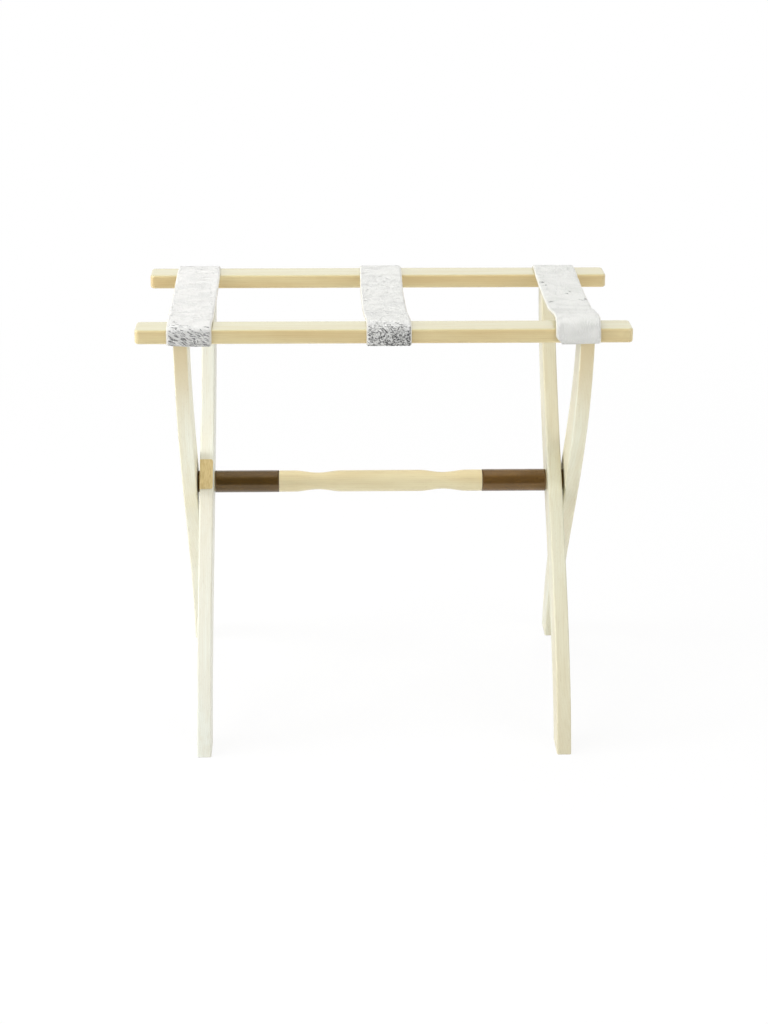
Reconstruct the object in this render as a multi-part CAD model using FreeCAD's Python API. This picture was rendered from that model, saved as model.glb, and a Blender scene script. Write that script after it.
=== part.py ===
"""Folding luggage bench.

Two frames cross like an X and turn on one line of pivots. Each frame is a flat rail on two curved legs.
The outer frame carries the front rail, and its feet stand at the rear. The inner frame carries the rear
rail, stands at the front, and is braced by a turned stretcher. Three hide straps join the two rails.

Millimetres. +X runs along the rails to the right, +Y to the rear, +Z up. The origin is on the floor,
midway between the feet.
"""

import FreeCAD, Part
import math
import os

Vector = FreeCAD.Vector

# Rails: flat boards with eased edges.
RAIL_LENGTH = 608.0
RAIL_WIDTH = 46.0
RAIL_THICK = 18.0
RAIL_SPACING = 304.0
RAIL_TOP = 538.0
RAIL_EDGE_ROUND = 3.0
RAIL_CORNER_ROUND = 6.0

# Legs: curved boards, widest at the pivot. The lean is measured from the upright.
LEG_THICK = 18.0
LEG_WIDTH_PIVOT = 56.0
LEG_WIDTH_END = 47.0
LEG_EDGE_ROUND = 2.0
LEG_STATIONS = 9
PIVOT_HEIGHT = 291.0
PIVOT_LEAN = 42.0
FOOT_SPACING = 420.0
INNER_LEG_X = 227.0
LEG_GAP = 3.5

# Turned stretcher between the inner legs, with leather sleeves on its ends.
STRETCHER_RADIUS = 14.0
NECK_RADIUS = 11.0
NECK_X = 82.0
NECK_HALF_LENGTH = 32.0
NECK_STATIONS = 9
SLEEVE_INNER_END = 133.0
SLEEVE_SEAT_RADIUS = 13.0
SLEEVE_RADIUS = 14.6
SLEEVE_END_GAP = 1.2
SLEEVE_EDGE_ROUND = 0.6
TENON_RADIUS = 8.0
TENON_LENGTH = 12.0

# Pivot hardware.
BOLT_SHANK_RADIUS = 4.0
BOLT_THREAD_RADIUS = 3.0
BOLT_THREAD_LENGTH = 20.0
BOLT_HEAD_RADIUS = 8.0
BOLT_HEAD_THICK = 3.5
BOLT_HEX_ACROSS = 4.0
BOLT_SOCKET_DEPTH = 2.0
WASHER_RADIUS = 9.0
WASHER_THICK = 1.5
COUNTERBORE_RADIUS = 9.6
COUNTERBORE_DEPTH = 5.6
INSERT_RADIUS = 5.0
INSERT_LENGTH = 22.0
RUNNING_CLEARANCE = 0.05
FACE_CLEARANCE = 0.2

# Rail screws, set from above into the tops of the legs.
SCREW_RADIUS = 2.25
SCREW_HEAD_RADIUS = 4.25
SCREW_HEAD_DEPTH = 2.2
SCREW_LENGTH = 40.0
SCREW_RECESS = 0.5
SCREW_OFFSETS = (-8.0, 13.0)

# Straps of hair-on hide.
STRAP_WIDTH = 55.0
STRAP_THICK = 3.2
STRAP_GAP = 0.2
STRAP_SAG = 5.0
STRAP_CENTRES = {"left": -236.5, "middle": 4.5, "right": 236.5}
FRONT_CROWN = {"left": 1.5, "middle": 2.0, "right": 6.8}
FRONT_LIFT = {"left": 0.4, "middle": 0.6, "right": 4.0}
REAR_CROWN = 1.0
TONGUE_DEPTH = 28.0
TONGUE_LEG_GAP = 1.0
SPAN_FRONT_GAP = 0.4
LIP_DEPTH = 0.4

# Tacks under the rails.
TACK_RADIUS = 1.1
TACK_LENGTH = 11.0
TACK_HEAD_RADIUS = 3.5
TACK_HEAD_THICK = 1.2
TACK_FROM_EDGE = 21.0
TACK_FROM_SIDE = 7.0
TACK_FROM_CORNER = 11.5

# Plain inlay on the front edge of the left inner leg, above the pivot.
INLAY_LENGTH = 42.0
INLAY_WIDTH = 17.0
INLAY_THICK = 2.6
INLAY_PROUD = 1.2
INLAY_CORNER = 3.0
INLAY_CENTRE_UP = 16.8

# Places worked out from the driving dimensions.
RAIL_BOTTOM = RAIL_TOP - RAIL_THICK
RAIL_HALF_WIDTH = RAIL_WIDTH / 2
RAIL_Y = RAIL_SPACING / 2
OUTER_LEG_X = INNER_LEG_X + LEG_THICK + LEG_GAP
INNER_LEG_INSIDE = INNER_LEG_X - LEG_THICK / 2
INNER_LEG_OUTSIDE = INNER_LEG_X + LEG_THICK / 2
OUTER_LEG_INSIDE = OUTER_LEG_X - LEG_THICK / 2
OUTER_LEG_OUTSIDE = OUTER_LEG_X + LEG_THICK / 2
COUNTERBORE_FLOOR = OUTER_LEG_OUTSIDE - COUNTERBORE_DEPTH
STRAP_TOP = RAIL_TOP + STRAP_GAP + STRAP_THICK
SIDES = {"left": -1, "right": 1}
FRONT, REAR = "front", "rear"


# ---------------------------------------------------------------- helpers

def box(x_range, y_range, z_range):
    """A box between two values on each axis."""
    size = [pair[1] - pair[0] for pair in (x_range, y_range, z_range)]
    return Part.makeBox(*size, Vector(x_range[0], y_range[0], z_range[0]))


def edges_along(shape, axis):
    """The straight edges of a shape that run along one axis."""
    found = []
    for edge in shape.Edges:
        step = edge.Vertexes[-1].Point - edge.Vertexes[0].Point
        if step.Length > 0 and abs(abs(step.dot(axis)) / step.Length - 1) < 1e-6:
            found.append(edge)
    return found


def pivot_cylinder(radius, x_start, x_end):
    """A cylinder on the pivot line between two places along X."""
    low, high = sorted((x_start, x_end))
    return Part.makeCylinder(radius, high - low, Vector(low, 0, PIVOT_HEIGHT), Vector(1, 0, 0))


def to_side(shape, side):
    """A shape made for the right side (+X), or its mirror image on the left."""
    if side > 0:
        return shape
    return shape.mirror(Vector(0, 0, 0), Vector(1, 0, 0))


def to_rear(shape):
    """The mirror image at the rear of a shape made for the front."""
    return shape.mirror(Vector(0, 0, 0), Vector(0, 1, 0))


def prism(edges, x_start, x_end):
    """A closed outline in the plane X = 0, drawn out from x_start to x_end."""
    face = Part.Face(Part.Wire(edges))
    face.translate(Vector(x_start, 0, 0))
    return face.extrude(Vector(x_end - x_start, 0, 0))


# ---------------------------------------------------------------- legs

def leg_curve():
    """Slope, bow and curl of a leg's centre line: it leans PIVOT_LEAN at the pivot and meets both ends."""
    slope = math.tan(math.radians(PIVOT_LEAN))
    up = RAIL_TOP - RAIL_THICK / 2 - PIVOT_HEIGHT
    down = PIVOT_HEIGHT
    top_miss = slope * up - RAIL_SPACING / 2
    foot_miss = FOOT_SPACING / 2 - slope * down
    scale = up ** 2 * down ** 2 * (up + down)
    bow = (top_miss * down ** 3 + foot_miss * up ** 3) / scale
    curl = (top_miss * down ** 2 - foot_miss * up ** 2) / scale
    return slope, bow, curl


def leg_offset(height):
    """How far the centre line is from the pivot at a height, towards the side of the leg's rail."""
    slope, bow, curl = leg_curve()
    rise = height - PIVOT_HEIGHT
    return slope * rise - bow * rise ** 2 - curl * rise ** 3


def leg_lean(height):
    """The centre line's lean from the upright at a height, in radians."""
    slope, bow, curl = leg_curve()
    rise = height - PIVOT_HEIGHT
    return math.atan(slope - 2 * bow * rise - 3 * curl * rise ** 2)


def leg_half_depth(height):
    """Half of the board's level depth at a height. The board is widest at the pivot."""
    rise = height - PIVOT_HEIGHT
    reach = RAIL_BOTTOM - PIVOT_HEIGHT if rise > 0 else PIVOT_HEIGHT
    width = LEG_WIDTH_PIVOT - (LEG_WIDTH_PIVOT - LEG_WIDTH_END) * (rise / reach) ** 2
    return width / 2 / math.cos(leg_lean(height))


def leg_edge_points(side):
    """Points down one curved edge of a front-leaning leg: side -1 is its front edge, 1 its rear edge."""
    points = []
    for step in range(LEG_STATIONS):
        height = RAIL_BOTTOM * step / (LEG_STATIONS - 1)
        level = -leg_offset(height) + side * leg_half_depth(height)
        points.append(Vector(0, level, height))
    return points


def leg_board(x_centre):
    """A leg whose top is at the front rail and whose foot is at the rear."""
    outline = []
    for side in (-1, 1):
        curve = Part.BSplineCurve()
        curve.interpolate(leg_edge_points(side))
        outline.append(curve.toShape())
    front, rear = leg_edge_points(-1), leg_edge_points(1)
    outline.append(Part.LineSegment(front[0], rear[0]).toShape())
    outline.append(Part.LineSegment(front[-1], rear[-1]).toShape())
    half = LEG_THICK / 2
    board = prism(Part.__sortEdges__(outline), x_centre - half, x_centre + half)
    long_edges = [edge for edge in board.Edges if edge.BoundBox.ZLength > RAIL_BOTTOM / 2]
    board = board.makeFillet(LEG_EDGE_ROUND, long_edges)
    foot_edges = [edge for edge in board.Edges if edge.BoundBox.ZMax < 0.01]
    return board.makeChamfer(LEG_EDGE_ROUND / 2, foot_edges)


def outer_leg(side):
    """Outer leg, bored for the pivot bolt, its sunk head, and the front rail's screws."""
    leg = leg_board(OUTER_LEG_X)
    bore = BOLT_SHANK_RADIUS + RUNNING_CLEARANCE
    leg = leg.cut(pivot_cylinder(bore, OUTER_LEG_INSIDE - 1, OUTER_LEG_OUTSIDE + 1))
    leg = leg.cut(pivot_cylinder(COUNTERBORE_RADIUS, COUNTERBORE_FLOOR, OUTER_LEG_OUTSIDE + 1))
    for screw in leg_screws(OUTER_LEG_X, RUNNING_CLEARANCE):
        leg = leg.cut(screw)
    return to_side(leg, side)


def inner_leg(side):
    """Inner leg, bored for the stretcher's tenon, the pivot bolt and the rear rail's screws."""
    leg = to_rear(leg_board(INNER_LEG_X))
    bore = BOLT_SHANK_RADIUS + RUNNING_CLEARANCE
    leg = leg.cut(pivot_cylinder(bore, INNER_LEG_INSIDE - 1, INNER_LEG_OUTSIDE + 1))
    socket_end = INNER_LEG_INSIDE + TENON_LENGTH + 2 * RUNNING_CLEARANCE
    leg = leg.cut(pivot_cylinder(TENON_RADIUS + RUNNING_CLEARANCE, INNER_LEG_INSIDE - 1, socket_end))
    for screw in leg_screws(INNER_LEG_X, RUNNING_CLEARANCE):
        leg = leg.cut(to_rear(screw))
    leg = to_side(leg, side)
    if side == SIDES["left"]:
        leg = leg.cut(inlay(RUNNING_CLEARANCE))
    return leg


def inlay(extra=0.0):
    """Small plate lying along the front edge of the left inner leg, flush with its outer side, or its
    pocket, which is open on that side."""
    height = PIVOT_HEIGHT + INLAY_CENTRE_UP
    level = leg_offset(height) - leg_half_depth(height)
    half_width = INLAY_WIDTH / 2 + extra
    half_length = INLAY_LENGTH / 2 + extra
    plate = box((-half_width, half_width), (-INLAY_PROUD, INLAY_THICK - INLAY_PROUD + extra),
                (-half_length, half_length))
    inward_corners = [edge for edge in edges_along(plate, Vector(0, 1, 0)) if edge.CenterOfMass.x > 0]
    plate = plate.makeFillet(INLAY_CORNER + extra, inward_corners)
    lean = math.degrees(leg_lean(height))
    plate.rotate(Vector(0, 0, 0), Vector(1, 0, 0), -lean)
    plate.translate(Vector(INLAY_WIDTH / 2 - INNER_LEG_OUTSIDE, level, height))
    return plate


# ---------------------------------------------------------------- rails and their screws

def screw(extra=0.0):
    """A countersunk wood screw pointing down from z = 0, or the hole for it when extra is given."""
    cone = Part.makeCone(SCREW_RADIUS + extra, SCREW_HEAD_RADIUS + extra, SCREW_HEAD_DEPTH,
                         Vector(0, 0, -SCREW_HEAD_DEPTH))
    shank = Part.makeCylinder(SCREW_RADIUS + extra, SCREW_LENGTH + extra - SCREW_HEAD_DEPTH / 2,
                              Vector(0, 0, -SCREW_LENGTH - extra))
    body = cone.fuse(shank)
    if extra:
        recess = Part.makeCylinder(SCREW_HEAD_RADIUS + extra, 2 * SCREW_RECESS)
        return body.fuse(recess)
    slot = SCREW_HEAD_RADIUS * 0.6
    for turn in (0, 90):
        cut = box((-slot, slot), (-SCREW_RECESS, SCREW_RECESS), (-SCREW_HEAD_DEPTH / 2, 1))
        cut.rotate(Vector(0, 0, 0), Vector(0, 0, 1), turn)
        body = body.cut(cut)
    return body.removeSplitter()


def leg_screws(x_centre, extra=0.0):
    """The screws that hold the front rail on a leg at x_centre, or their holes."""
    placed = []
    for offset in SCREW_OFFSETS:
        one = screw(extra)
        one.translate(Vector(x_centre, -RAIL_Y + offset, RAIL_TOP - SCREW_RECESS))
        placed.append(one)
    return placed


def rail_screws(leg_x, end):
    """All screws of one rail, as separate solids."""
    placed = []
    for side in SIDES.values():
        for one in leg_screws(leg_x):
            one = to_side(one, side)
            placed.append(to_rear(one) if end == REAR else one)
    return Part.makeCompound(placed)


def rail(leg_x, end):
    """A rail at the front, bored for the screws of its legs and for the tacks of the straps at its end."""
    x_range = (-RAIL_LENGTH / 2, RAIL_LENGTH / 2)
    board = box(x_range, (-RAIL_Y - RAIL_HALF_WIDTH, -RAIL_Y + RAIL_HALF_WIDTH), (RAIL_BOTTOM, RAIL_TOP))
    board = board.makeFillet(RAIL_CORNER_ROUND, edges_along(board, Vector(0, 0, 1)))
    flat_edges = [edge for edge in board.Edges if edge.BoundBox.ZLength < 0.01]
    board = board.makeFillet(RAIL_EDGE_ROUND, flat_edges)
    for side in SIDES.values():
        for hole in leg_screws(leg_x, RUNNING_CLEARANCE):
            board = board.cut(to_side(hole, side))
    for name in STRAP_CENTRES:
        for x in tack_places(name, end):
            board = board.cut(tack(x, RUNNING_CLEARANCE))
    return board


# ---------------------------------------------------------------- stretcher and pivots

def neck_curve():
    """The turned neck's outline: a smooth dip from the full radius to the neck radius and back."""
    dip = STRETCHER_RADIUS - NECK_RADIUS
    points = []
    for step in range(NECK_STATIONS):
        along = 2 * step / (NECK_STATIONS - 1) - 1
        radius = STRETCHER_RADIUS - dip * (1 + math.cos(math.pi * along)) / 2
        points.append(Vector(NECK_X + along * NECK_HALF_LENGTH, 0, radius))
    curve = Part.BSplineCurve()
    flat = Vector(1, 0, 0)
    curve.interpolate(Points=points, InitialTangent=flat, FinalTangent=flat)
    return curve.toShape()


def stretcher():
    """Turned stretcher: barrel, two necks, a seat for each sleeve, and a tenon at each end."""
    neck_start = NECK_X - NECK_HALF_LENGTH
    neck_end = NECK_X + NECK_HALF_LENGTH
    tenon_end = INNER_LEG_INSIDE + TENON_LENGTH
    steps = [(neck_end, STRETCHER_RADIUS), (SLEEVE_INNER_END, STRETCHER_RADIUS),
             (SLEEVE_INNER_END, SLEEVE_SEAT_RADIUS), (INNER_LEG_INSIDE, SLEEVE_SEAT_RADIUS),
             (INNER_LEG_INSIDE, TENON_RADIUS), (tenon_end, TENON_RADIUS), (tenon_end, 0), (0, 0),
             (0, STRETCHER_RADIUS), (neck_start, STRETCHER_RADIUS)]
    corners = [Vector(x, 0, radius) for x, radius in steps]
    outline = [Part.LineSegment(a, b).toShape() for a, b in zip(corners, corners[1:])]
    outline.append(neck_curve())
    face = Part.Face(Part.Wire(Part.__sortEdges__(outline)))
    half = face.revolve(Vector(0, 0, 0), Vector(1, 0, 0), 360)
    whole = half.fuse(to_side(half, SIDES["left"])).removeSplitter()
    whole.translate(Vector(0, 0, PIVOT_HEIGHT))
    bore_start = tenon_end - INSERT_LENGTH - 1
    bore = pivot_cylinder(INSERT_RADIUS + RUNNING_CLEARANCE, bore_start, tenon_end + 1)
    for side in SIDES.values():
        whole = whole.cut(to_side(bore, side))
    return whole


def sleeve(side):
    """Leather sleeve round the stretcher's seat, stopping just short of the leg."""
    start = SLEEVE_INNER_END + FACE_CLEARANCE
    end = INNER_LEG_INSIDE - SLEEVE_END_GAP
    tube = pivot_cylinder(SLEEVE_RADIUS, start, end)
    tube = tube.makeFillet(SLEEVE_EDGE_ROUND, [edge for edge in tube.Edges if edge.BoundBox.XLength < 0.01])
    hole = pivot_cylinder(SLEEVE_SEAT_RADIUS + RUNNING_CLEARANCE, start - 1, end + 1)
    return to_side(tube.cut(hole), side)


def ring(radius, x_start, x_end, side):
    """A disc on the pivot line with a hole for the bolt's shank."""
    disc = pivot_cylinder(radius, x_start, x_end)
    hole = pivot_cylinder(BOLT_SHANK_RADIUS + RUNNING_CLEARANCE, x_start - 1, x_end + 1)
    return to_side(disc.cut(hole), side)


def spacer(side):
    """Dark spacer that keeps the outer leg off the inner leg."""
    return ring(STRETCHER_RADIUS, INNER_LEG_OUTSIDE, OUTER_LEG_INSIDE - FACE_CLEARANCE, side)


def washer(side):
    """Washer under the bolt's head, at the bottom of the leg's counterbore."""
    start = COUNTERBORE_FLOOR + FACE_CLEARANCE
    return ring(WASHER_RADIUS, start, start + WASHER_THICK, side)


def pivot_bolt(side):
    """Shoulder bolt with a low round head and a hex socket, threaded into the stretcher's insert. Its head
    is sunk in the leg's counterbore."""
    head_start = COUNTERBORE_FLOOR + FACE_CLEARANCE + WASHER_THICK
    head_end = head_start + BOLT_HEAD_THICK
    shoulder = INNER_LEG_INSIDE + TENON_LENGTH + 3 * RUNNING_CLEARANCE
    head = pivot_cylinder(BOLT_HEAD_RADIUS, head_start, head_end)
    rim = [edge for edge in head.Edges if edge.BoundBox.XMin > head_end - 0.01]
    head = head.makeFillet(BOLT_HEAD_THICK * 0.6, rim)
    hexagon = []
    socket_floor = head_end - BOLT_SOCKET_DEPTH
    for corner in range(7):
        angle = math.radians(60 * corner)
        reach = BOLT_HEX_ACROSS / math.sqrt(3)
        hexagon.append(Vector(socket_floor, reach * math.cos(angle), PIVOT_HEIGHT + reach * math.sin(angle)))
    socket = Part.Face(Part.makePolygon(hexagon)).extrude(Vector(BOLT_SOCKET_DEPTH + 1, 0, 0))
    shank = pivot_cylinder(BOLT_SHANK_RADIUS, shoulder, head_start)
    thread = pivot_cylinder(BOLT_THREAD_RADIUS, shoulder - BOLT_THREAD_LENGTH, shoulder)
    bolt = head.fuse(shank).fuse(thread).cut(socket).removeSplitter()
    return to_side(bolt, side)


def threaded_insert(side):
    """Brass insert in the stretcher's end that takes the bolt's thread."""
    end = INNER_LEG_INSIDE + TENON_LENGTH - FACE_CLEARANCE
    body = pivot_cylinder(INSERT_RADIUS, end - INSERT_LENGTH, end)
    hole = pivot_cylinder(BOLT_THREAD_RADIUS + RUNNING_CLEARANCE, end - INSERT_LENGTH - 1, end + 1)
    return to_side(body.cut(hole), side)


# ---------------------------------------------------------------- straps and their tacks

def tongue_range(name, end):
    """Where a strap's tongue lies along X. Under the front rail an outer strap's tongue lies inside its
    leg, and under the rear rail outside it."""
    centre = STRAP_CENTRES[name]
    if name == "middle":
        return centre - STRAP_WIDTH / 2, centre + STRAP_WIDTH / 2
    low, high = abs(centre) - STRAP_WIDTH / 2, abs(centre) + STRAP_WIDTH / 2
    if end == FRONT:
        high = OUTER_LEG_INSIDE - TONGUE_LEG_GAP
    else:
        low = INNER_LEG_OUTSIDE + TONGUE_LEG_GAP
    return (low, high) if centre > 0 else (-high, -low)


def tack_places(name, end):
    """Places of a strap's tacks along X: three in the middle strap's tongue, two in the others. Under the
    front rail the outer straps' tacks keep further from the corner that faces the bench's middle."""
    low, high = tongue_range(name, end)
    if name == "middle":
        return [low + TACK_FROM_SIDE, (low + high) / 2, high - TACK_FROM_SIDE]
    inward = TACK_FROM_CORNER if end == FRONT else TACK_FROM_SIDE
    if STRAP_CENTRES[name] > 0:
        return [low + inward, high - TACK_FROM_SIDE]
    return [low + TACK_FROM_SIDE, high - inward]


def tack(x, extra=0.0):
    """A domed tack under the front rail, or the hole for its shank."""
    y = -RAIL_Y - RAIL_HALF_WIDTH + TACK_FROM_EDGE
    under = RAIL_BOTTOM - STRAP_GAP - STRAP_THICK
    shank = Part.makeCylinder(TACK_RADIUS + extra, TACK_LENGTH + extra, Vector(x, y, under))
    if extra:
        return shank
    head = Part.makeCylinder(TACK_HEAD_RADIUS, TACK_HEAD_THICK, Vector(x, y, under - TACK_HEAD_THICK))
    rim = [edge for edge in head.Edges if edge.BoundBox.ZMax < under - TACK_HEAD_THICK + 0.01]
    return head.makeFillet(TACK_HEAD_THICK * 0.7, rim).fuse(shank).removeSplitter()


def strap_tacks(end):
    """All tacks of one rail, as separate solids."""
    tacks = [tack(x) for name in STRAP_CENTRES for x in tack_places(name, end)]
    if end == REAR:
        tacks = [to_rear(one) for one in tacks]
    return Part.makeCompound(tacks)


def rounded_bar(grow, x_range):
    """The front rail's section grown on every side, drawn out along X."""
    low_y, high_y = -RAIL_Y - RAIL_HALF_WIDTH - grow, -RAIL_Y + RAIL_HALF_WIDTH + grow
    bar = box(x_range, (low_y, high_y), (RAIL_BOTTOM - grow, RAIL_TOP + grow))
    return bar.makeFillet(RAIL_EDGE_ROUND + grow, edges_along(bar, Vector(1, 0, 0)))


def bowed_sheet(top, x_range):
    """A sheet of hide whose top runs along an arc through three points, drawn out along X."""
    drop = Vector(0, 0, -STRAP_THICK)
    low = [point + drop for point in top]
    outline = [Part.Arc(*top).toShape(), Part.LineSegment(top[2], low[2]).toShape(),
               Part.Arc(*reversed(low)).toShape(), Part.LineSegment(low[0], top[0]).toShape()]
    return prism(outline, *x_range)


def crown(name, end, x_range):
    """The hide over a rail. It stands up off the wood in a low arch, highest at the middle of the rail."""
    rise, lift = REAR_CROWN, 0.0
    if end == FRONT:
        rise, lift = FRONT_CROWN[name], FRONT_LIFT[name]
    outer = Vector(0, -RAIL_Y - RAIL_HALF_WIDTH + RAIL_EDGE_ROUND, STRAP_TOP)
    inner = Vector(0, -RAIL_Y + RAIL_HALF_WIDTH, STRAP_TOP + lift)
    middle = Vector(0, (outer.y + inner.y) / 2, STRAP_TOP + rise)
    return bowed_sheet([outer, middle, inner], x_range)


def strap_wrap(name, end):
    """A strap's wrap on a rail: over the top, down the outer face, and a tongue underneath. Beside the
    tongue, where the leg is, the wrap ends in a short lip. It is made at the front and mirrored."""
    centre = STRAP_CENTRES[name]
    x_range = (centre - STRAP_WIDTH / 2, centre + STRAP_WIDTH / 2)
    outer_y = -RAIL_Y - RAIL_HALF_WIDTH
    middle_z = RAIL_TOP - RAIL_THICK / 2
    layer = rounded_bar(STRAP_GAP + STRAP_THICK, x_range).cut(rounded_bar(STRAP_GAP, x_range))
    past = 2 * STRAP_THICK
    corner_y = outer_y + RAIL_EDGE_ROUND
    face = layer.common(box(x_range, (outer_y - past, corner_y), (middle_z, RAIL_TOP + past)))
    lip = layer.common(box(x_range, (outer_y - past, outer_y + LIP_DEPTH), (RAIL_BOTTOM - past, middle_z)))
    tongue = layer.common(box(tongue_range(name, end), (outer_y - past, outer_y + TONGUE_DEPTH),
                              (RAIL_BOTTOM - past, middle_z)))
    wrap = face.fuse([lip, tongue, crown(name, end, x_range)])
    for x in tack_places(name, end):
        wrap = wrap.cut(tack(x, RUNNING_CLEARANCE))
    wrap = wrap.removeSplitter()
    return to_rear(wrap) if end == REAR else wrap


def strap_span(name):
    """The free span of a strap between the rails, with a slight sag."""
    centre = STRAP_CENTRES[name]
    front = Vector(0, -RAIL_Y + RAIL_HALF_WIDTH + SPAN_FRONT_GAP, STRAP_TOP + FRONT_LIFT[name])
    rear = Vector(0, RAIL_Y - RAIL_HALF_WIDTH, STRAP_TOP)
    middle = Vector(0, 0, STRAP_TOP - STRAP_SAG)
    return bowed_sheet([front, middle, rear], (centre - STRAP_WIDTH / 2, centre + STRAP_WIDTH / 2))


# ---------------------------------------------------------------- the bench

def sub_parts():
    """Every node of the bench, by name."""
    parts = {
        "front_rail": rail(OUTER_LEG_X, FRONT),
        "rear_rail": to_rear(rail(INNER_LEG_X, REAR)),
        "stretcher": stretcher(),
        "inlay_plate": inlay(),
        "front_rail_screws": rail_screws(OUTER_LEG_X, FRONT),
        "rear_rail_screws": rail_screws(INNER_LEG_X, REAR),
        "front_strap_tacks": strap_tacks(FRONT),
        "rear_strap_tacks": strap_tacks(REAR),
        "bolt_washers": Part.makeCompound([washer(side) for side in SIDES.values()]),
        "threaded_inserts": Part.makeCompound([threaded_insert(side) for side in SIDES.values()]),
    }
    for name, side in SIDES.items():
        parts["outer_leg_" + name] = outer_leg(side)
        parts["inner_leg_" + name] = inner_leg(side)
        parts["sleeve_" + name] = sleeve(side)
        parts["spacer_" + name] = spacer(side)
        parts["pivot_bolt_" + name] = pivot_bolt(side)
    for name in STRAP_CENTRES:
        parts["strap_" + name + "_front"] = strap_wrap(name, FRONT)
        parts["strap_" + name + "_span"] = strap_span(name)
        parts["strap_" + name + "_rear"] = strap_wrap(name, REAR)
    return parts


def write_parts():
    """Write one STEP file per node, and print each node's solids, state, volume and extents."""
    os.makedirs("parts", exist_ok=True)
    for node, shape in sorted(sub_parts().items()):
        shape.exportStep("parts/" + node + ".step")
        bounds = shape.optimalBoundingBox(False)
        print(f"{node:20s} solids {len(shape.Solids)}  valid {shape.isValid()}  {shape.Volume / 1000:.2f} cm3"
              f"  x {bounds.XMin:.1f} to {bounds.XMax:.1f}  y {bounds.YMin:.1f} to {bounds.YMax:.1f}"
              f"  z {bounds.ZMin:.1f} to {bounds.ZMax:.1f}")


write_parts()
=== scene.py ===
# %% [markdown]
# # Dressing a folding luggage bench
#
# The bench is two wooden frames that cross like an X and turn on bolts. Three straps of hair-on hide join
# the two flat rails, and a turned stretcher with leather sleeves holds the legs apart. The hard parts come
# ready made from the construction model, at their real size and place. This lesson gives each of them a
# finish and builds the soft parts: the straps, their hair and the sleeves.

# %% Load the frame
import math

import bpy
import numpy as np
from mathutils import Matrix, Vector


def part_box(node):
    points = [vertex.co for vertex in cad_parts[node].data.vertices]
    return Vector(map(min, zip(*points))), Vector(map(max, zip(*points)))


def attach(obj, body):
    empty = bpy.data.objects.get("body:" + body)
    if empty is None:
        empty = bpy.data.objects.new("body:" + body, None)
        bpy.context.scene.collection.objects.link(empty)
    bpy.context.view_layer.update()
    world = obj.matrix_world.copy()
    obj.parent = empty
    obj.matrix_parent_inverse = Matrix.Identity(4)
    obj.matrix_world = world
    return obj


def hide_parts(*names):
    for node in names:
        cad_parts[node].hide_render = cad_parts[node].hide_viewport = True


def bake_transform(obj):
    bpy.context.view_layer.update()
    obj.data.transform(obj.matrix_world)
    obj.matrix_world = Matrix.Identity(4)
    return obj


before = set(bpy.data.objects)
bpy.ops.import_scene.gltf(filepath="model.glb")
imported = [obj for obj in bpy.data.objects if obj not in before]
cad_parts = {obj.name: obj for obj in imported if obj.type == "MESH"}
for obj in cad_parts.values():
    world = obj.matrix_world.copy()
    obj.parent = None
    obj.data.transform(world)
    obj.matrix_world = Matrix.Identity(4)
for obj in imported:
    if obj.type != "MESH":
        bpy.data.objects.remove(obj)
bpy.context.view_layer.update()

MM = 0.001

# %% [markdown]
# ## Measures taken from the frame
#
# Nothing soft is placed by a number of its own if the frame already knows it. The rails give the straps
# their line, and the stretcher gives the height of the pivots.

# %% Read the rails and the pivot line
front_low, front_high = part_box("front_rail")
rear_low, rear_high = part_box("rear_rail")
stretcher_low, stretcher_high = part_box("stretcher")
PIVOT_Z = (stretcher_low.z + stretcher_high.z) / 2
print(f"rails {front_high.x - front_low.x:.3f} m long and {rear_low.y - front_high.y:.3f} m apart,",
      f"tops at {front_high.z:.3f} and {rear_high.z:.3f} m, pivots at {PIVOT_Z:.3f} m")

# %% [markdown]
# ## The camera
#
# A long lens from about three metres keeps the rails almost parallel, as a catalogue shows furniture. The
# camera stands a little to the left and looks down by 18 degrees, so that the rear rail shows above the front
# one. It is turned about three axes instead of being aimed at a point, because a roll of a fraction
# of a degree matters in a view that is nearly all level lines.

# %% Place the camera
CAMERA_PLACE = (-0.0773, -3.0713, 1.2501)
TURN_RIGHT = 1.529
LOOK_DOWN = 18.073
ROLL = 0.15
LENS = 86.04
FILM_HEIGHT = 36.0      # millimetres, as the lens

camera_data = bpy.data.cameras.new("camera")
camera_data.sensor_fit = "VERTICAL"
camera_data.sensor_height = FILM_HEIGHT
camera_data.lens = LENS
camera = bpy.data.objects.new("camera", camera_data)
bpy.context.scene.collection.objects.link(camera)
turn = Matrix.Rotation(math.radians(-TURN_RIGHT), 4, "Z")
tilt = Matrix.Rotation(math.radians(90 - LOOK_DOWN), 4, "X")
roll = Matrix.Rotation(math.radians(ROLL), 4, "Z")
camera.matrix_world = Matrix.Translation(CAMERA_PLACE) @ turn @ tilt @ roll
bpy.context.scene.camera = camera
print(f"camera at {CAMERA_PLACE}, lens {LENS} mm")

# %% [markdown]
# ## A small kit for shader nodes
#
# Every finish is a tree of nodes. Wiring each one by hand takes four lines a node, so one helper adds a node,
# fills its sockets and hands back the output that is wanted. A value that is itself an output is linked, and
# any other value is typed into the socket.

# %% Node helpers
NOISE_ROUGHNESS = 0.55
SCREEN_KNEE = 0.04045       # below this share of full brightness, a screen's tone curve is a straight line


def fill(tree, made, inputs):
    """Set or link a node's input sockets."""
    for key, value in inputs.items():
        if isinstance(value, bpy.types.NodeSocket):
            tree.links.new(value, made.inputs[key])
        else:
            made.inputs[key].default_value = value


def node(tree, kind, inputs=None, out=0, **settings):
    """Add a shader node and return one of its outputs."""
    made = tree.nodes.new("ShaderNode" + kind)
    for key, value in settings.items():
        setattr(made, key, value)
    fill(tree, made, inputs or {})
    return made.outputs[out]


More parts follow.
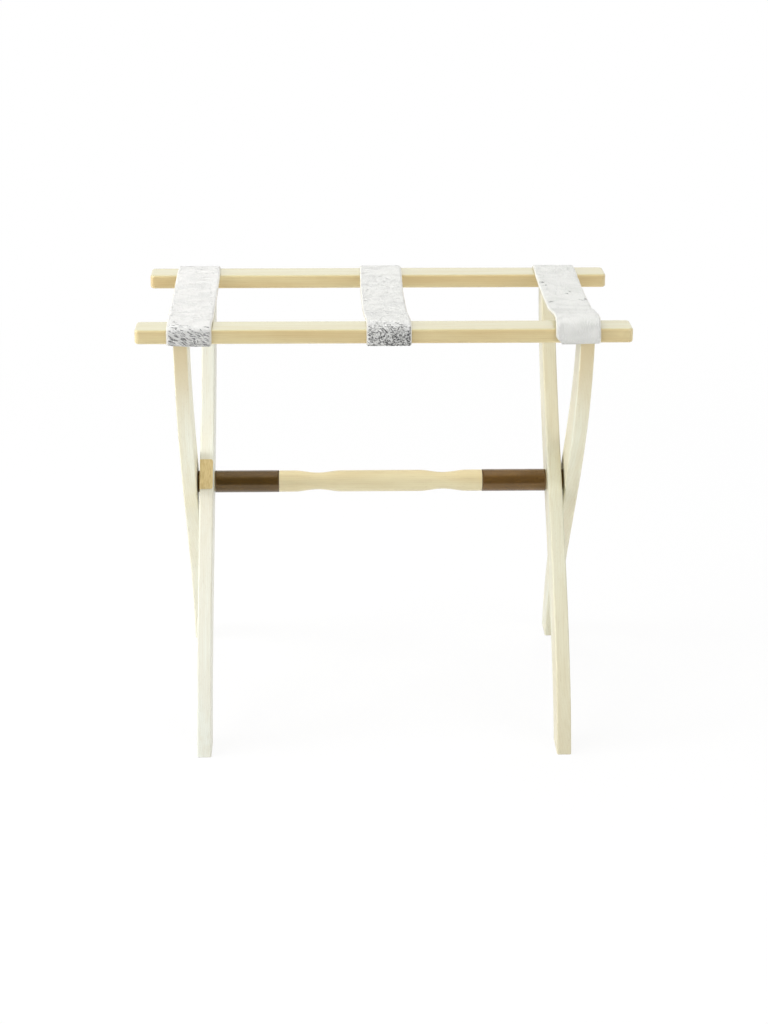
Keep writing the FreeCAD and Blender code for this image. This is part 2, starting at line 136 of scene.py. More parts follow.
def math_node(tree, operation, first, second=0.0):
    """One sum on two numbers."""
    return node(tree, "Math", {0: first, 1: second}, operation=operation)


def blend_colours(tree, factor, first, second):
    """A colour between two colours."""
    return node(tree, "Mix", {0: factor, 6: first, 7: second}, out=2, data_type="RGBA")


def fade(tree, value, low, high, to_low=0.0, to_high=1.0):
    """Turn a value between low and high into a smooth step from to_low to to_high."""
    return node(tree, "MapRange", {"Value": value, "From Min": low, "From Max": high, "To Min": to_low,
                                   "To Max": to_high}, interpolation_type="SMOOTHSTEP")


def stretch(tree, vector, scale, turned=(0, 0, 0)):
    """Turn a coordinate, then scale it along each axis."""
    turned_vector = node(tree, "Mapping", {"Vector": vector, "Rotation": turned})
    return node(tree, "Mapping", {"Vector": turned_vector, "Scale": scale})


def noise(tree, vector, scale=1.0, detail=3.0):
    """Soft noise between 0 and 1."""
    return node(tree, "TexNoise", {"Vector": vector, "Scale": scale, "Detail": detail,
                                   "Roughness": NOISE_ROUGHNESS})


def rgb(red, green, blue):
    """A colour given as it looks on a screen, from 0 to 255, in the linear values that shaders use."""
    linear = []
    for part in (red, green, blue):
        part = part / 255
        linear.append(part / 12.92 if part <= SCREEN_KNEE else ((part + 0.055) / 1.055) ** 2.4)
    return (*linear, 1.0)


def new_finish(name, **constants):
    """A material with one shader. Values that are the same all over go on the shader's own sockets."""
    material = bpy.data.materials.new(name)
    material.use_nodes = True
    tree = material.node_tree
    tree.nodes.clear()
    shader = tree.nodes.new("ShaderNodeBsdfPrincipled")
    output = tree.nodes.new("ShaderNodeOutputMaterial")
    tree.links.new(shader.outputs["BSDF"], output.inputs["Surface"])
    for key, value in constants.items():
        shader.inputs[key.replace("_", " ")].default_value = value
    return material, tree, shader


def add_bump(tree, shader, height, distance, strength=1.0):
    """Roughen a shader's surface with a height."""
    bump = node(tree, "Bump", {"Height": height, "Distance": distance, "Strength": strength})
    tree.links.new(bump, shader.inputs["Normal"])


print("node helpers ready")

# %% [markdown]
# ## Floor, world and lamps
#
# The studio is a plain white sweep. Far from the lamps a white floor still looks grey, so the camera sees it
# partly as a glow: most of what reaches the lens is plain white, and the rest is the lit floor, which keeps
# the soft shadow under the feet. The world is white to the camera and in reflections, and dimmer as a source
# of light. Two lamps on the left, one high and one low, model the bench, a large one above opens the
# shadows, and a weak one on the right keeps the far sides from going grey. The white sweep ends a little in
# front of the bench, so glossy things, such as the sleeves, show a darker studio on that side. The lamp above
# is kept out of reflections, or it would draw a white line along the top of each sleeve.

# %% Build the floor
WHITE = (1, 1, 1, 1)
FLOOR_HALF = 30.0
# How much of the floor's look is glow, near the bench and far from it, and the distances between which it
# changes.
GLOW_SHARE = (0.9, 1.0)
GLOW_REACH = (0.4, 2.2)
STUDIO_DARK = 0.12
FLOOR_DARK_FROM = (-0.95, -0.6)


def seen_directly(tree):
    """1 for rays from the camera and for reflections and refractions, 0 for light on its way to a surface."""
    rays = tree.nodes.new("ShaderNodeLightPath")
    both = math_node(tree, "MAXIMUM", rays.outputs["Is Camera Ray"], rays.outputs["Is Glossy Ray"])
    return math_node(tree, "MAXIMUM", both, rays.outputs["Is Transmission Ray"])


def dark_front(tree, level, far, near):
    """1 for reflections of the studio's dark front, which starts between near and far along -Y."""
    rays = tree.nodes.new("ShaderNodeLightPath")
    return math_node(tree, "MULTIPLY", fade(tree, level, far, near, 1, 0), rays.outputs["Is Glossy Ray"])


floor_mesh = bpy.data.meshes.new("floor")
corners = [(x * FLOOR_HALF, y * FLOOR_HALF, 0) for x, y in ((-1, -1), (1, -1), (1, 1), (-1, 1))]
floor_mesh.from_pydata(corners, [], [(0, 1, 2, 3)])
floor = bpy.data.objects.new("floor", floor_mesh)
bpy.context.scene.collection.objects.link(floor)

floor_finish = bpy.data.materials.new("white_floor")
floor_finish.use_nodes = True
floor_tree = floor_finish.node_tree
floor_tree.nodes.clear()
floor_place = node(floor_tree, "TexCoord", out="Object")
floor_cloud = noise(floor_tree, floor_place, 3.0)
floor_shown = blend_colours(floor_tree, floor_cloud, rgb(244, 244, 244), rgb(248, 248, 248))
floor_bounce = blend_colours(floor_tree, floor_cloud, rgb(236, 236, 236), rgb(240, 240, 240))
floor_tone = blend_colours(floor_tree, seen_directly(floor_tree), floor_bounce, floor_shown)
lit_floor = node(floor_tree, "BsdfDiffuse", {"Color": floor_tone})
glowing_floor = node(floor_tree, "Emission", {"Color": WHITE, "Strength": 1.0})
far_off = node(floor_tree, "VectorMath", {0: floor_place}, out=1, operation="LENGTH")
glow = fade(floor_tree, far_off, *GLOW_REACH, *GLOW_SHARE)
glow_share = math_node(floor_tree, "MULTIPLY", seen_directly(floor_tree), glow)
white_floor = node(floor_tree, "MixShader", {0: glow_share, 1: lit_floor, 2: glowing_floor})
dark_floor = node(floor_tree, "Emission", {"Color": WHITE, "Strength": STUDIO_DARK})
towards_front = node(floor_tree, "SeparateXYZ", {"Vector": floor_place}, out="Y")
floor_surface = node(floor_tree, "MixShader", {0: dark_front(floor_tree, towards_front, *FLOOR_DARK_FROM),
                                               1: white_floor, 2: dark_floor})
floor_output = floor_tree.nodes.new("ShaderNodeOutputMaterial")
floor_tree.links.new(floor_surface, floor_output.inputs["Surface"])
floor_mesh.materials.append(floor_finish)
print("floor", 2 * FLOOR_HALF, "m across")

# %% Light the studio
WORLD_LIGHT = 0.41
SKY_DARK_FROM = (-0.75, -0.35)

bpy.context.scene.view_settings.view_transform = "Standard"
world = bpy.data.worlds.new("studio")
world.use_nodes = True
bpy.context.scene.world = world
sky = world.node_tree
sky.nodes.clear()
sky_light = node(sky, "Background", {"Color": WHITE, "Strength": WORLD_LIGHT})
sky_seen = node(sky, "Background", {"Color": WHITE, "Strength": 1.0})
sky_white = node(sky, "MixShader", {0: seen_directly(sky), 1: sky_light, 2: sky_seen})
sky_dark = node(sky, "Background", {"Color": WHITE, "Strength": STUDIO_DARK})
sky_way = node(sky, "SeparateXYZ", {"Vector": node(sky, "TexCoord", out="Generated")}, out="Y")
sky_mix = node(sky, "MixShader", {0: dark_front(sky, sky_way, *SKY_DARK_FROM), 1: sky_white, 2: sky_dark})
sky_output = sky.nodes.new("ShaderNodeOutputWorld")
sky.links.new(sky_mix, sky_output.inputs["Surface"])

LAMPS = {
    "key_high": {"place": (-1.9, -1.3, 2.9), "size": 1.6, "watts": 23},
    "key_side": {"place": (-3.2, -0.7, 1.5), "size": 1.8, "watts": 62},
    "fill_right": {"place": (2.2, -2.6, 1.5), "size": 2.4, "watts": 33},
    "top": {"place": (-0.2, 0.6, 3.0), "size": 2.4, "watts": 42, "glossy": False},
}
LAMP_AIM = Vector((0, 0, 0.35))
for name, lamp in LAMPS.items():
    lamp_data = bpy.data.lights.new(name, "AREA")
    lamp_data.shape = "DISK"
    lamp_data.size = lamp["size"]
    lamp_data.energy = lamp["watts"]
    lamp_object = bpy.data.objects.new(name, lamp_data)
    bpy.context.scene.collection.objects.link(lamp_object)
    lamp_object.location = lamp["place"]
    lamp_object.visible_glossy = lamp.get("glossy", True)
    lamp_object.rotation_euler = (LAMP_AIM - lamp_object.location).to_track_quat("-Z", "Y").to_euler()
print("lamps:", ", ".join(LAMPS))

# %% [markdown]
# ## Pale wood
#
# The wood is a pale, close-grained hardwood under satin lacquer. A flat picture of grain would slide over the
# edges, so the grain is solid: rings round an axis far outside the board, cut by whichever face is looked at.
# A long face then shows drawn-out lines and an end shows arcs, as sawn timber does. Each pair of legs leans
# another way, so the rings are turned to run along them. Fine pores and a slow drift of colour go on top. The
# rails' upward faces are painted paler, a painted highlight for the light from above. Each leg is cut from
# another plank and has a tone of its own, and the front and rear faces of the two outer ones are painted
# browner towards their upper ends, a painted shade for the rail above them.

# %% Wood finish
# Each stick of wood has its own ground colour, warmer colour and dark line colour.
RAIL_TONES = (rgb(227, 212, 163), rgb(217, 193, 139), rgb(191, 159, 104))
# Painted highlight: the rails' upward faces are blended towards this paler tone, standing in for the light
# from above.
RAIL_TOP_PAINTED_LIGHT = rgb(192, 192, 156)
STRETCHER_TONES = (rgb(234, 224, 185), rgb(224, 208, 162), rgb(203, 177, 129))
LEG_TONES = {
    "outer_leg_left": (rgb(245, 246, 229), rgb(240, 236, 212), rgb(218, 206, 168)),
    "outer_leg_right": (rgb(238, 238, 217), rgb(233, 227, 200), rgb(213, 199, 158)),
    "inner_leg_left": (rgb(234, 238, 228), rgb(229, 226, 210), rgb(208, 197, 167)),
    "inner_leg_right": (rgb(225, 223, 200), rgb(220, 213, 184), rgb(200, 187, 146)),
}
# Painted shade of the rail above: the outer legs' front and rear faces turn towards this browner tone near
# their upper ends, between the two heights below and by at most the share below them.
LEG_HEAD_PAINTED_SHADE = rgb(211, 190, 142)
WOOD_PORE = rgb(160, 126, 84)
HEAD_SHADE_FADE = (0.37, 0.53)
HEAD_SHADE_SHARE = 0.8
RING_SPACING = 2.6 * MM
RING_SCALE = math.pi / 10 / RING_SPACING
RING_WANDER = 14 * MM


def wood_finish(name, tones, turned=(0, 0, 0), shift=(0, 0.09, 0.06), coat=0.4, top=None, head_shade=None):
    """Solid wood with its grain along X after the coordinate is turned. Its upward faces may get a paler
    painted highlight, and the front and rear faces near its upper end a browner painted shade."""
    material, tree, shader = new_finish(name, Coat_Weight=coat, Coat_Roughness=0.22, IOR=1.5)
    pale, warm, dark = tones
    place = node(tree, "TexCoord", out="Object")
    board = node(tree, "Mapping", {"Vector": place, "Rotation": turned, "Location": shift})
    drift = noise(tree, stretch(tree, board, (3.0, 22, 22)), detail=2)
    sway = noise(tree, stretch(tree, board, (2.2, 14, 14)), detail=2)
    wander = math_node(tree, "MULTIPLY", sway, RING_WANDER)
    bent = node(tree, "VectorMath", {0: board, 1: node(tree, "CombineXYZ", {"Y": wander, "Z": wander})},
                operation="ADD")
    rings = node(tree, "TexWave", {"Vector": bent, "Scale": RING_SCALE, "Distortion": 0.0}, out="Fac",
                 wave_type="RINGS", rings_direction="X", wave_profile="SAW")
    figure = noise(tree, stretch(tree, board, (9, 260, 260)), detail=4)
    pores = fade(tree, noise(tree, stretch(tree, board, (40, 1500, 1500)), detail=2), 0.60, 0.74)
    ground = blend_colours(tree, fade(tree, drift, 0.35, 0.65), pale, warm)
    # Painted highlight: faces that point up are blended towards the paler top tone.
    if top:
        facing = node(tree, "SeparateXYZ", {"Vector": node(tree, "TexCoord", out="Normal")}, out="Z")
        ground = blend_colours(tree, fade(tree, facing, 0.4, 0.95, 0, 0.75), ground, top)
    # Painted shade: the front and rear faces, not the sides, turn browner towards the upper end.
    if head_shade:
        level = node(tree, "SeparateXYZ", {"Vector": place}, out="Z")
        sideways = node(tree, "SeparateXYZ", {"Vector": node(tree, "TexCoord", out="Normal")}, out="X")
        edge_face = fade(tree, math_node(tree, "ABSOLUTE", sideways), 0.3, 0.8, 1, 0)
        head_shade_share = math_node(tree, "MULTIPLY", fade(tree, level, *HEAD_SHADE_FADE, 0, HEAD_SHADE_SHARE), edge_face)
        ground = blend_colours(tree, head_shade_share, ground, head_shade)
    ringed = blend_colours(tree, fade(tree, rings, 0.45, 1.0, 0, 0.13), ground, dark)
    figured = blend_colours(tree, fade(tree, figure, 0.42, 0.72, 0, 0.2), ringed, dark)
    pored = blend_colours(tree, math_node(tree, "MULTIPLY", pores, 0.2), figured, WOOD_PORE)
    fill(tree, shader, {"Base Color": pored, "Roughness": fade(tree, figure, 0.3, 0.7, 0.38, 0.52)})
    add_bump(tree, shader, math_node(tree, "SUBTRACT", math_node(tree, "MULTIPLY", rings, 0.3), pores),
             0.06 * MM, 0.5)
    return material


LEG_LEAN = math.radians(34.4)
# For the outer and the inner legs: which way the grain leans, where in the log it lies, and the painted shade
# that its front and rear faces turn to at its upper end, under the rail.
LEG_GRAIN = {
    "outer": (-LEG_LEAN, (0.3, 0.05, 0.08), LEG_HEAD_PAINTED_SHADE),
    "inner": (LEG_LEAN, (0.1, 0.08, 0.05), None),
}

along_rail = wood_finish("rail_wood", RAIL_TONES, coat=1.0, top=RAIL_TOP_PAINTED_LIGHT)
along_stretcher = wood_finish("stretcher_wood", STRETCHER_TONES, shift=(0.2, 0.05, 0.04))
along_leg = {}
for name, tones in LEG_TONES.items():
    lean, shift, head_shade = LEG_GRAIN[name[:5]]
    along_leg[name] = wood_finish(f"{name}_wood", tones, (lean, math.pi / 2, 0), shift, coat=0.15, head_shade=head_shade)
print("wood finishes:", along_rail.name, along_stretcher.name, [leg.name for leg in along_leg.values()])

# %% [markdown]
# ## Metal, spacer and inlay
#
# The bolts and washers are zinc plated: a metal with a slight cloudiness and fine turning marks. The tacks
# are the same metal, a little darker. The inserts are brass and hardly seen. The spacer between the legs is
# brown fibre board, nearly without shine. The inlay is a harder, browner wood than the leg it lies in.

# %% Metal finish
def metal_finish(name, bright, dull, roughness):
    """Metal whose polish and tint drift a little, with fine scratches."""
    material, tree, shader = new_finish(name, Metallic=1.0)
    place = node(tree, "TexCoord", out="Object")
    cloud = noise(tree, place, 180, 3)
    scratch = noise(tree, stretch(tree, place, (4000, 700, 700)), detail=2)
    fill(tree, shader, {"Base Color": blend_colours(tree, fade(tree, cloud, 0.3, 0.7), bright, dull),
                        "Roughness": fade(tree, cloud, 0.25, 0.75, roughness, roughness + 0.16)})
    add_bump(tree, shader, scratch, 0.02 * MM, 0.4)
    return material


zinc_plate = metal_finish("zinc_plate", rgb(206, 208, 210), rgb(176, 179, 183), 0.24)
tack_metal = metal_finish("tack_metal", rgb(170, 168, 164), rgb(132, 129, 124), 0.30)
turned_brass = metal_finish("turned_brass", rgb(214, 180, 108), rgb(184, 146, 80), 0.28)
print("metals:", zinc_plate.name, tack_metal.name, turned_brass.name)


# %% Spacer and inlay finishes
def spacer_finish():
    """Dense dark fibre, speckled and nearly dull."""
    material, tree, shader = new_finish("dark_fibre")
    place = node(tree, "TexCoord", out="Object")
    speckle = noise(tree, place, 1400, 3)
    tone = blend_colours(tree, fade(tree, speckle, 0.4, 0.7), rgb(118, 82, 26), rgb(146, 106, 40))
    fill(tree, shader, {"Base Color": tone, "Roughness": fade(tree, speckle, 0.3, 0.7, 0.55, 0.72)})
    add_bump(tree, shader, speckle, 0.05 * MM)
    return material


def inlay_finish():
    """A browner wood, with its grain across the plate's length."""
    material, tree, shader = new_finish("inlay_wood", Coat_Weight=0.3, Coat_Roughness=0.3)
    place = node(tree, "TexCoord", out="Object")
    board = node(tree, "Mapping", {"Vector": place, "Rotation": (LEG_LEAN, 0, 0)})
    streaks = noise(tree, stretch(tree, board, (900, 900, 60)), detail=4)
    tone = blend_colours(tree, fade(tree, streaks, 0.35, 0.7), rgb(229, 208, 153), rgb(211, 186, 129))
    fill(tree, shader, {"Base Color": tone, "Roughness": fade(tree, streaks, 0.3, 0.7, 0.42, 0.55)})
    add_bump(tree, shader, streaks, 0.04 * MM, 0.5)
    return material


dark_fibre = spacer_finish()
inlay_wood = inlay_finish()
print("small finishes:", dark_fibre.name, inlay_wood.name)

# %% Give the hard parts their finishes
NODE_FINISHES = {
    "front_rail": along_rail, "rear_rail": along_rail, "stretcher": along_stretcher, **along_leg,
    "spacer_left": dark_fibre, "spacer_right": dark_fibre, "inlay_plate": inlay_wood,
    "pivot_bolt_left": zinc_plate, "pivot_bolt_right": zinc_plate, "bolt_washers": zinc_plate,
    "front_rail_screws": zinc_plate, "rear_rail_screws": zinc_plate, "threaded_inserts": turned_brass,
    "front_strap_tacks": tack_metal, "rear_strap_tacks": tack_metal,
}
for name, finish in NODE_FINISHES.items():
    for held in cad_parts[name].material_slots:
        held.material = finish
print(len(NODE_FINISHES), "nodes have a finish")

# %% [markdown]
# ## The line of a strap
#
# A strap is one strip of hide. It starts with a tongue tacked under the front rail, goes up the rail's face,
# over its top, across to the rear rail and down round it in the same way. Seen from the side, that is one
# line. It is drawn here once for each strap, in millimetres, and everything on the strap is placed on it by
# two numbers: how far along the line, and how far to the side. The right strap stands well off the front
# rail, so its line is drawn through points of its own, while the others follow the rails closely.

# %% Lines and arcs
STEP = 1.5              # millimetres between points along a strap
BOW_POINTS = 60
POINTS_BETWEEN = 14     # on a smooth line, between two of the points that it goes through


def arc(centre, radius, start, end):
    """Points on an arc between two angles in degrees."""
    count = max(3, int(abs(math.radians(end - start)) * radius / STEP * 3) + 2)
    turns = np.radians(np.linspace(start, end, count))
    return np.column_stack([centre[0] + radius * np.cos(turns), centre[1] + radius * np.sin(turns)])


def bow(first, middle, last):
    """Points on the shallow curve from first to last whose middle is the given point."""
    share = np.linspace(0, 1, BOW_POINTS)[:, None]
    first, middle, last = (np.array(point, float) for point in (first, middle, last))
    pull = 2 * middle - (first + last) / 2
    return (1 - share) ** 2 * first + 2 * share * (1 - share) * pull + share ** 2 * last


def smooth_through(points):
    """A smooth line through points (Catmull and Rom's way)."""
    points = np.array(points, float)
    padded = np.vstack([2 * points[0] - points[1], points, 2 * points[-1] - points[-2]])
    line = []
    for a, b, c, d in zip(padded, padded[1:], padded[2:], padded[3:]):
        for t in np.linspace(0, 1, POINTS_BETWEEN, endpoint=False):
            line.append(0.5 * (2 * b + (c - a) * t + (2 * a - 5 * b + 4 * c - d) * t * t
                               + (3 * b - a - 3 * c + d) * t ** 3))
    return np.vstack([line, points[-1]])


print("a quarter of a rail corner has", len(arc((0, 0), 6.4, 180, 90)), "points")

# %% Draw each strap's line
RAIL_TOP = front_high.z / MM
RAIL_BOTTOM = front_low.z / MM
OUTER_FACE = -front_low.y / MM
INNER_FACE = -front_high.y / MM
CORNER = 3.0            # radius of the rails' edges
HIDE = 3.4              # from the rail to the outer side of the hair
HIDE_TOP = RAIL_TOP + HIDE
HIDE_BOTTOM = RAIL_BOTTOM - HIDE
TONGUE_DEPTH = 28.0
SAG = 5.0
REAR_CROWN = 1.0
CORNER_Y = OUTER_FACE - CORNER
OUT_RADIUS = CORNER + HIDE
SAME_POINT = 1e-4       # points nearer than this are one
# Kinks in a strap's line are smoothed out over this many millimetres, with this many steps on either side of
# each point. Only the top is smoothed, from this far inside the rails' corners, and fully after the fade.
SOFTEN = 2.0
SOFTEN_STEPS = 6
SOFTEN_INSIDE = 4
SOFTEN_FADE = 6

# Where each strap lies along the rails, how far it arches over the front rail, and how far it stands off
# that rail's inner edge.
STRAPS = {
    "left": {"centre": -236.5, "crown": 1.5, "lift": 0.4},
    "middle": {"centre": 4.5, "crown": 2.0, "lift": 0.6},
    "right": {"centre": 236.5, "crown": 6.8, "lift": 4.0},
}
RIGHT_STRAP_FRONT = [
    (-172.5, 517.4), (-178.2, 520.4), (-180.8, 525.8), (-179.6, 532.0), (-177.2, 539.0), (-172.8, 545.4),
    (-166.5, 548.3), (-158, 548.9), (-144, 548.6), (-129, 547.2), (-112, 545.2), (-92, 542.4), (-70, 539.9),
    (-52, 538.7), (-35, 538.4), (0, 538.6), (40, 539.4), (85, 540.6), (129, 541.4),
]


def strap_line(name):
    """Points (y, z) on the outer side of a strap, from its front tongue over the bench to its rear one."""
    crown, lift = STRAPS[name]["crown"], STRAPS[name]["lift"]
    tongue_end = OUTER_FACE - TONGUE_DEPTH
    corner_low, corner_high = RAIL_BOTTOM + CORNER, RAIL_TOP - CORNER
    front = [[(-tongue_end, HIDE_BOTTOM)], arc((-CORNER_Y, corner_low), OUT_RADIUS, 270, 180),
             arc((-CORNER_Y, corner_high), OUT_RADIUS, 180, 90),
             bow((-CORNER_Y, HIDE_TOP), ((-CORNER_Y - INNER_FACE) / 2, HIDE_TOP + crown),
                 (-INNER_FACE, HIDE_TOP + lift)),
             bow((-INNER_FACE, HIDE_TOP + lift), (0, HIDE_TOP - SAG), (INNER_FACE, HIDE_TOP))]
    if name == "right":
        front = [[(-tongue_end, HIDE_BOTTOM)], smooth_through(RIGHT_STRAP_FRONT)]
    rear = [bow((INNER_FACE, HIDE_TOP), ((CORNER_Y + INNER_FACE) / 2, HIDE_TOP + REAR_CROWN),
                (CORNER_Y, HIDE_TOP)),
            arc((CORNER_Y, corner_high), OUT_RADIUS, 90, 0), arc((CORNER_Y, corner_low), OUT_RADIUS, 0, -90),
            [(tongue_end, HIDE_BOTTOM)]]
    line = np.vstack([np.array(part, float) for part in front + rear])
    gaps = np.hypot(*np.diff(line, axis=0).T)
    return line[np.concatenate([[True], gaps > SAME_POINT])]


def even_steps(line):
    """The same line with points at even steps, its kinks softened, and the outward direction at each."""
    along = np.concatenate([[0], np.cumsum(np.hypot(*np.diff(line, axis=0).T))])
    count = int(along[-1] / STEP) + 1
    even = np.linspace(0, along[-1], count)
    fine = np.column_stack([np.interp(even, along, line[:, axis]) for axis in (0, 1)])
    reach = np.arange(-SOFTEN_STEPS, SOFTEN_STEPS + 1)
    weights = np.exp(-0.5 * (reach * STEP / SOFTEN) ** 2)
    weights = weights / weights.sum()
    padded = np.pad(fine, ((SOFTEN_STEPS, SOFTEN_STEPS), (0, 0)), mode="reflect", reflect_type="odd")
    soft = np.column_stack([np.convolve(padded[:, axis], weights, "valid") for axis in (0, 1)])
    on_top = np.clip((CORNER_Y - SOFTEN_INSIDE - np.abs(fine[:, 0])) / SOFTEN_FADE, 0, 1)[:, None]
    fine = fine + (soft - fine) * np.where(fine[:, 1:] > RAIL_TOP, on_top, 0)
    slope = np.gradient(fine, axis=0)
    slope /= np.hypot(*slope.T)[:, None]
    out = np.column_stack([-slope[:, 1], slope[:, 0]])
    return {"along": even, "point": fine, "out": out, "length": along[-1]}


for name, strap in STRAPS.items():
    strap["line"] = even_steps(strap_line(name))
    print(name, "strap:", round(strap["line"]["length"]), "mm long")

# %% [markdown]
# ## Where things sit on a strap
#
# Hide is never quite straight. Each strap wanders a little to one side or the other between the rails, its
# surface ripples, and it has creases where it was bent. These small shapes are worked out once, as a height
# over the strap's line, so that the leather, the hair coat and every lock of hair follow the same surface.
# The ripples are sums of waves whose random directions come from numbered starts, so each run gives the same
# hide.

# %% Wander and ripples
STRAP_HALF = 27.5
STRAP_NAMES = list(STRAPS)
# How far each strap's centre is to the right of its place, at some places along Y.
WANDER = {
    "left": [(-178, -1.2), (-150, -1.2), (-54, -2.6), (42, -3.0), (150, -3.0), (178, -3.0)],
    "middle": [(-178, 1.2), (-150, 1.4), (-58, -1.5), (49, -2.2), (150, -1.4), (178, -1.6)],
    "right": [(-178, 0.0), (-150, 1.0), (-40, 0.2), (55, -0.6), (150, 0.0), (178, 0.0)],
}
# How much wider than its tongues each half of a strap is between the rails, and how high its ripples are.
SPREAD = {"left": 1.1, "middle": 0.3, "right": 0.3}
RIPPLE = {"left": 0.30, "middle": 0.26, "right": 0.14}
# The ranges of a random wave's length along a strap and across it.
WAVE_ALONG = (8, 30)
WAVE_ACROSS = (35, 120)
# The numbered starts of everything that is drawn at random.
SEEDS = {"ripples": 11, "edge_waves": 40, "soot": 71, "coat_low": 81, "coat_high": 91,
         "pale": 300, "pepper": 400, "marks": 500, "sleeve": 600}


def smooth_step(value, low, high):
    """0 below low, 1 above high, and a smooth change between them."""
    share = np.clip((np.asarray(value, float) - low) / (high - low), 0, 1)
    return share * share * (3 - 2 * share)


def wander_at(name, y):
    """How far a strap's centre is to the right of its place, at places along Y."""
    table = np.array(WANDER[name])
    total = np.full(np.shape(y), table[0, 1])
    for (start, before), (end, after) in zip(table, table[1:]):
        total = total + (after - before) * smooth_step(y, start, end)
    return total


def waves(seed, across, along, count=14):
    """A soft random surface between about -1 and 1, longer across the strap than along it."""
    rng = np.random.default_rng(seed)
    total = np.zeros(np.broadcast(across, along).shape)
    for _ in range(count):
        length_along, length_across = rng.uniform(*WAVE_ALONG), rng.uniform(*WAVE_ACROSS)
        phase, lean = rng.uniform(0, 2 * np.pi), rng.choice([-1, 1])
        total += np.sin(2 * np.pi * (along / length_along + lean * across / length_across) + phase)
    return total / math.sqrt(count)


print("ripples on a few places:", waves(5, np.array([0.0, 10.0]), np.array([50.0, 60.0])).round(2))

# %% Creases
CREASE_FADE = 6.0       # how far a crease fades out past its ends
FREE_FROM = (118, 150)  # the strap ripples freely between the rails, and less where it lies on them
HELD_RIPPLE = 0.25
EDGE_WAVE = 0.3         # height of the waves at a strap's edges, and how many there are
EDGE_WAVES = 6
DEEPEST = 1.2           # how far a free surface may sink below its line, and one on a rail
DEEPEST_HELD = 0.05


def valley(across, along, start, end, depth, width):
    """A crease from start to end, each a place (across, along), that fades out past its ends."""
    start, end = np.array(start, float), np.array(end, float)
    way = (end - start) / np.hypot(*(end - start))
    off_across, off_along = across - start[0], along - start[1]
    down = off_across * way[0] + off_along * way[1]
    off = off_across * way[1] - off_along * way[0]
    long = np.hypot(*(end - start))
    before_end = 1 - smooth_step(down, long - CREASE_FADE, long + CREASE_FADE)
    held = smooth_step(down, -CREASE_FADE, CREASE_FADE) * before_end
    return -depth * held * np.exp(-(off / width) ** 2)


# Each crease: start and end (across, along), depth and width. A negative depth is a ridge.
CREASES = {
    "left": [((4, 222), (26, 218), 0.35, 2.5), ((6, 190), (26, 186), 0.3, 2.2),
             ((10, 152), (26, 158), 0.35, 3.0)],
    "middle": [((-18, 258), (4, 257), 0.3, 2.6), ((-4, 203), (23, 211), 0.25, 3.0),
               ((-26, 95), (27, 132), 1.0, 3.0), ((-24, 86), (26, 118), -0.45, 4.0)],
    "right": [((-20, 198), (-8, 196), 0.5, 2.6), ((6, 206), (27, 216), 0.5, 2.6),
              ((-18, 46), (-18, 58), 0.7, 2.6), ((-13, 47), (-12, 56), 0.6, 5.0),
              ((-24, 42), (-23, 60), -0.5, 3.0), ((2, 46), (27, 55), 0.3, 3.0)],
}


def relief(name, across, along, y):
    """How far a strap's surface stands out from its line, in millimetres."""
    free = 1 - smooth_step(np.abs(y), *FREE_FROM)
    loose = HELD_RIPPLE + (1 - HELD_RIPPLE) * free
    height = RIPPLE[name] * loose * waves(STRAP_NAMES.index(name) + SEEDS["ripples"], across, along)
    edge_wave = waves(SEEDS["edge_waves"] + len(name), 0 * across, along / 2, EDGE_WAVES)
    height = height + EDGE_WAVE * loose * (np.abs(across) / STRAP_HALF) ** 3 * edge_wave
    for start, end, depth, width in CREASES[name]:
        height = height + valley(across, along, start, end, depth, width)
    if name == "right":
        free = np.where(np.asarray(y) < 0, 1.0, free)
    return np.maximum(height, -DEEPEST * free - DEEPEST_HELD)


print("creases:", {name: len(found) for name, found in CREASES.items()})

# %% Places on a strap
PLACE_SHIFT = 0.5       # keeps the straps' flat coordinates apart, so that no two get the same pattern


def on_strap(name, across, along, lift):
    """Points in metres: across from a strap's centre line, along its line, lift off the hair's outer side."""
    strap = STRAPS[name]
    line = strap["line"]
    y, z = (np.interp(along, line["along"], line["point"][:, axis]) for axis in (0, 1))
    out_y, out_z = (np.interp(along, line["along"], line["out"][:, axis]) for axis in (0, 1))
    rise = lift + relief(name, across, along, y)
    x = strap["centre"] + wander_at(name, y) + across
    return np.stack(np.broadcast_arrays(x, y + out_y * rise, z + out_z * rise), axis=-1) * MM


def place_of(name, across, along):
    """The same places as flat coordinates on the strap, in metres, which its finishes are drawn by."""
    shift = STRAP_NAMES.index(name) * PLACE_SHIFT
    return np.stack(np.broadcast_arrays(across * MM + shift, along * MM, 0 * across), axis=-1)


print("middle of the left strap:", on_strap("left", np.array([0.0]), np.array([220.0]), 0.0).round(4))

# %% [markdown]
# ## Turning points into a mesh
#
# The leather and its hair coat are both a ring of points carried along the line: the ring goes over the top
# from edge to edge and back underneath, with a few points round each edge. Joining the rings gives a closed
# skin. Where a leg stands under the rail, the tongue is narrower than the strap, so the rings simply get
# narrower there, within a few millimetres.

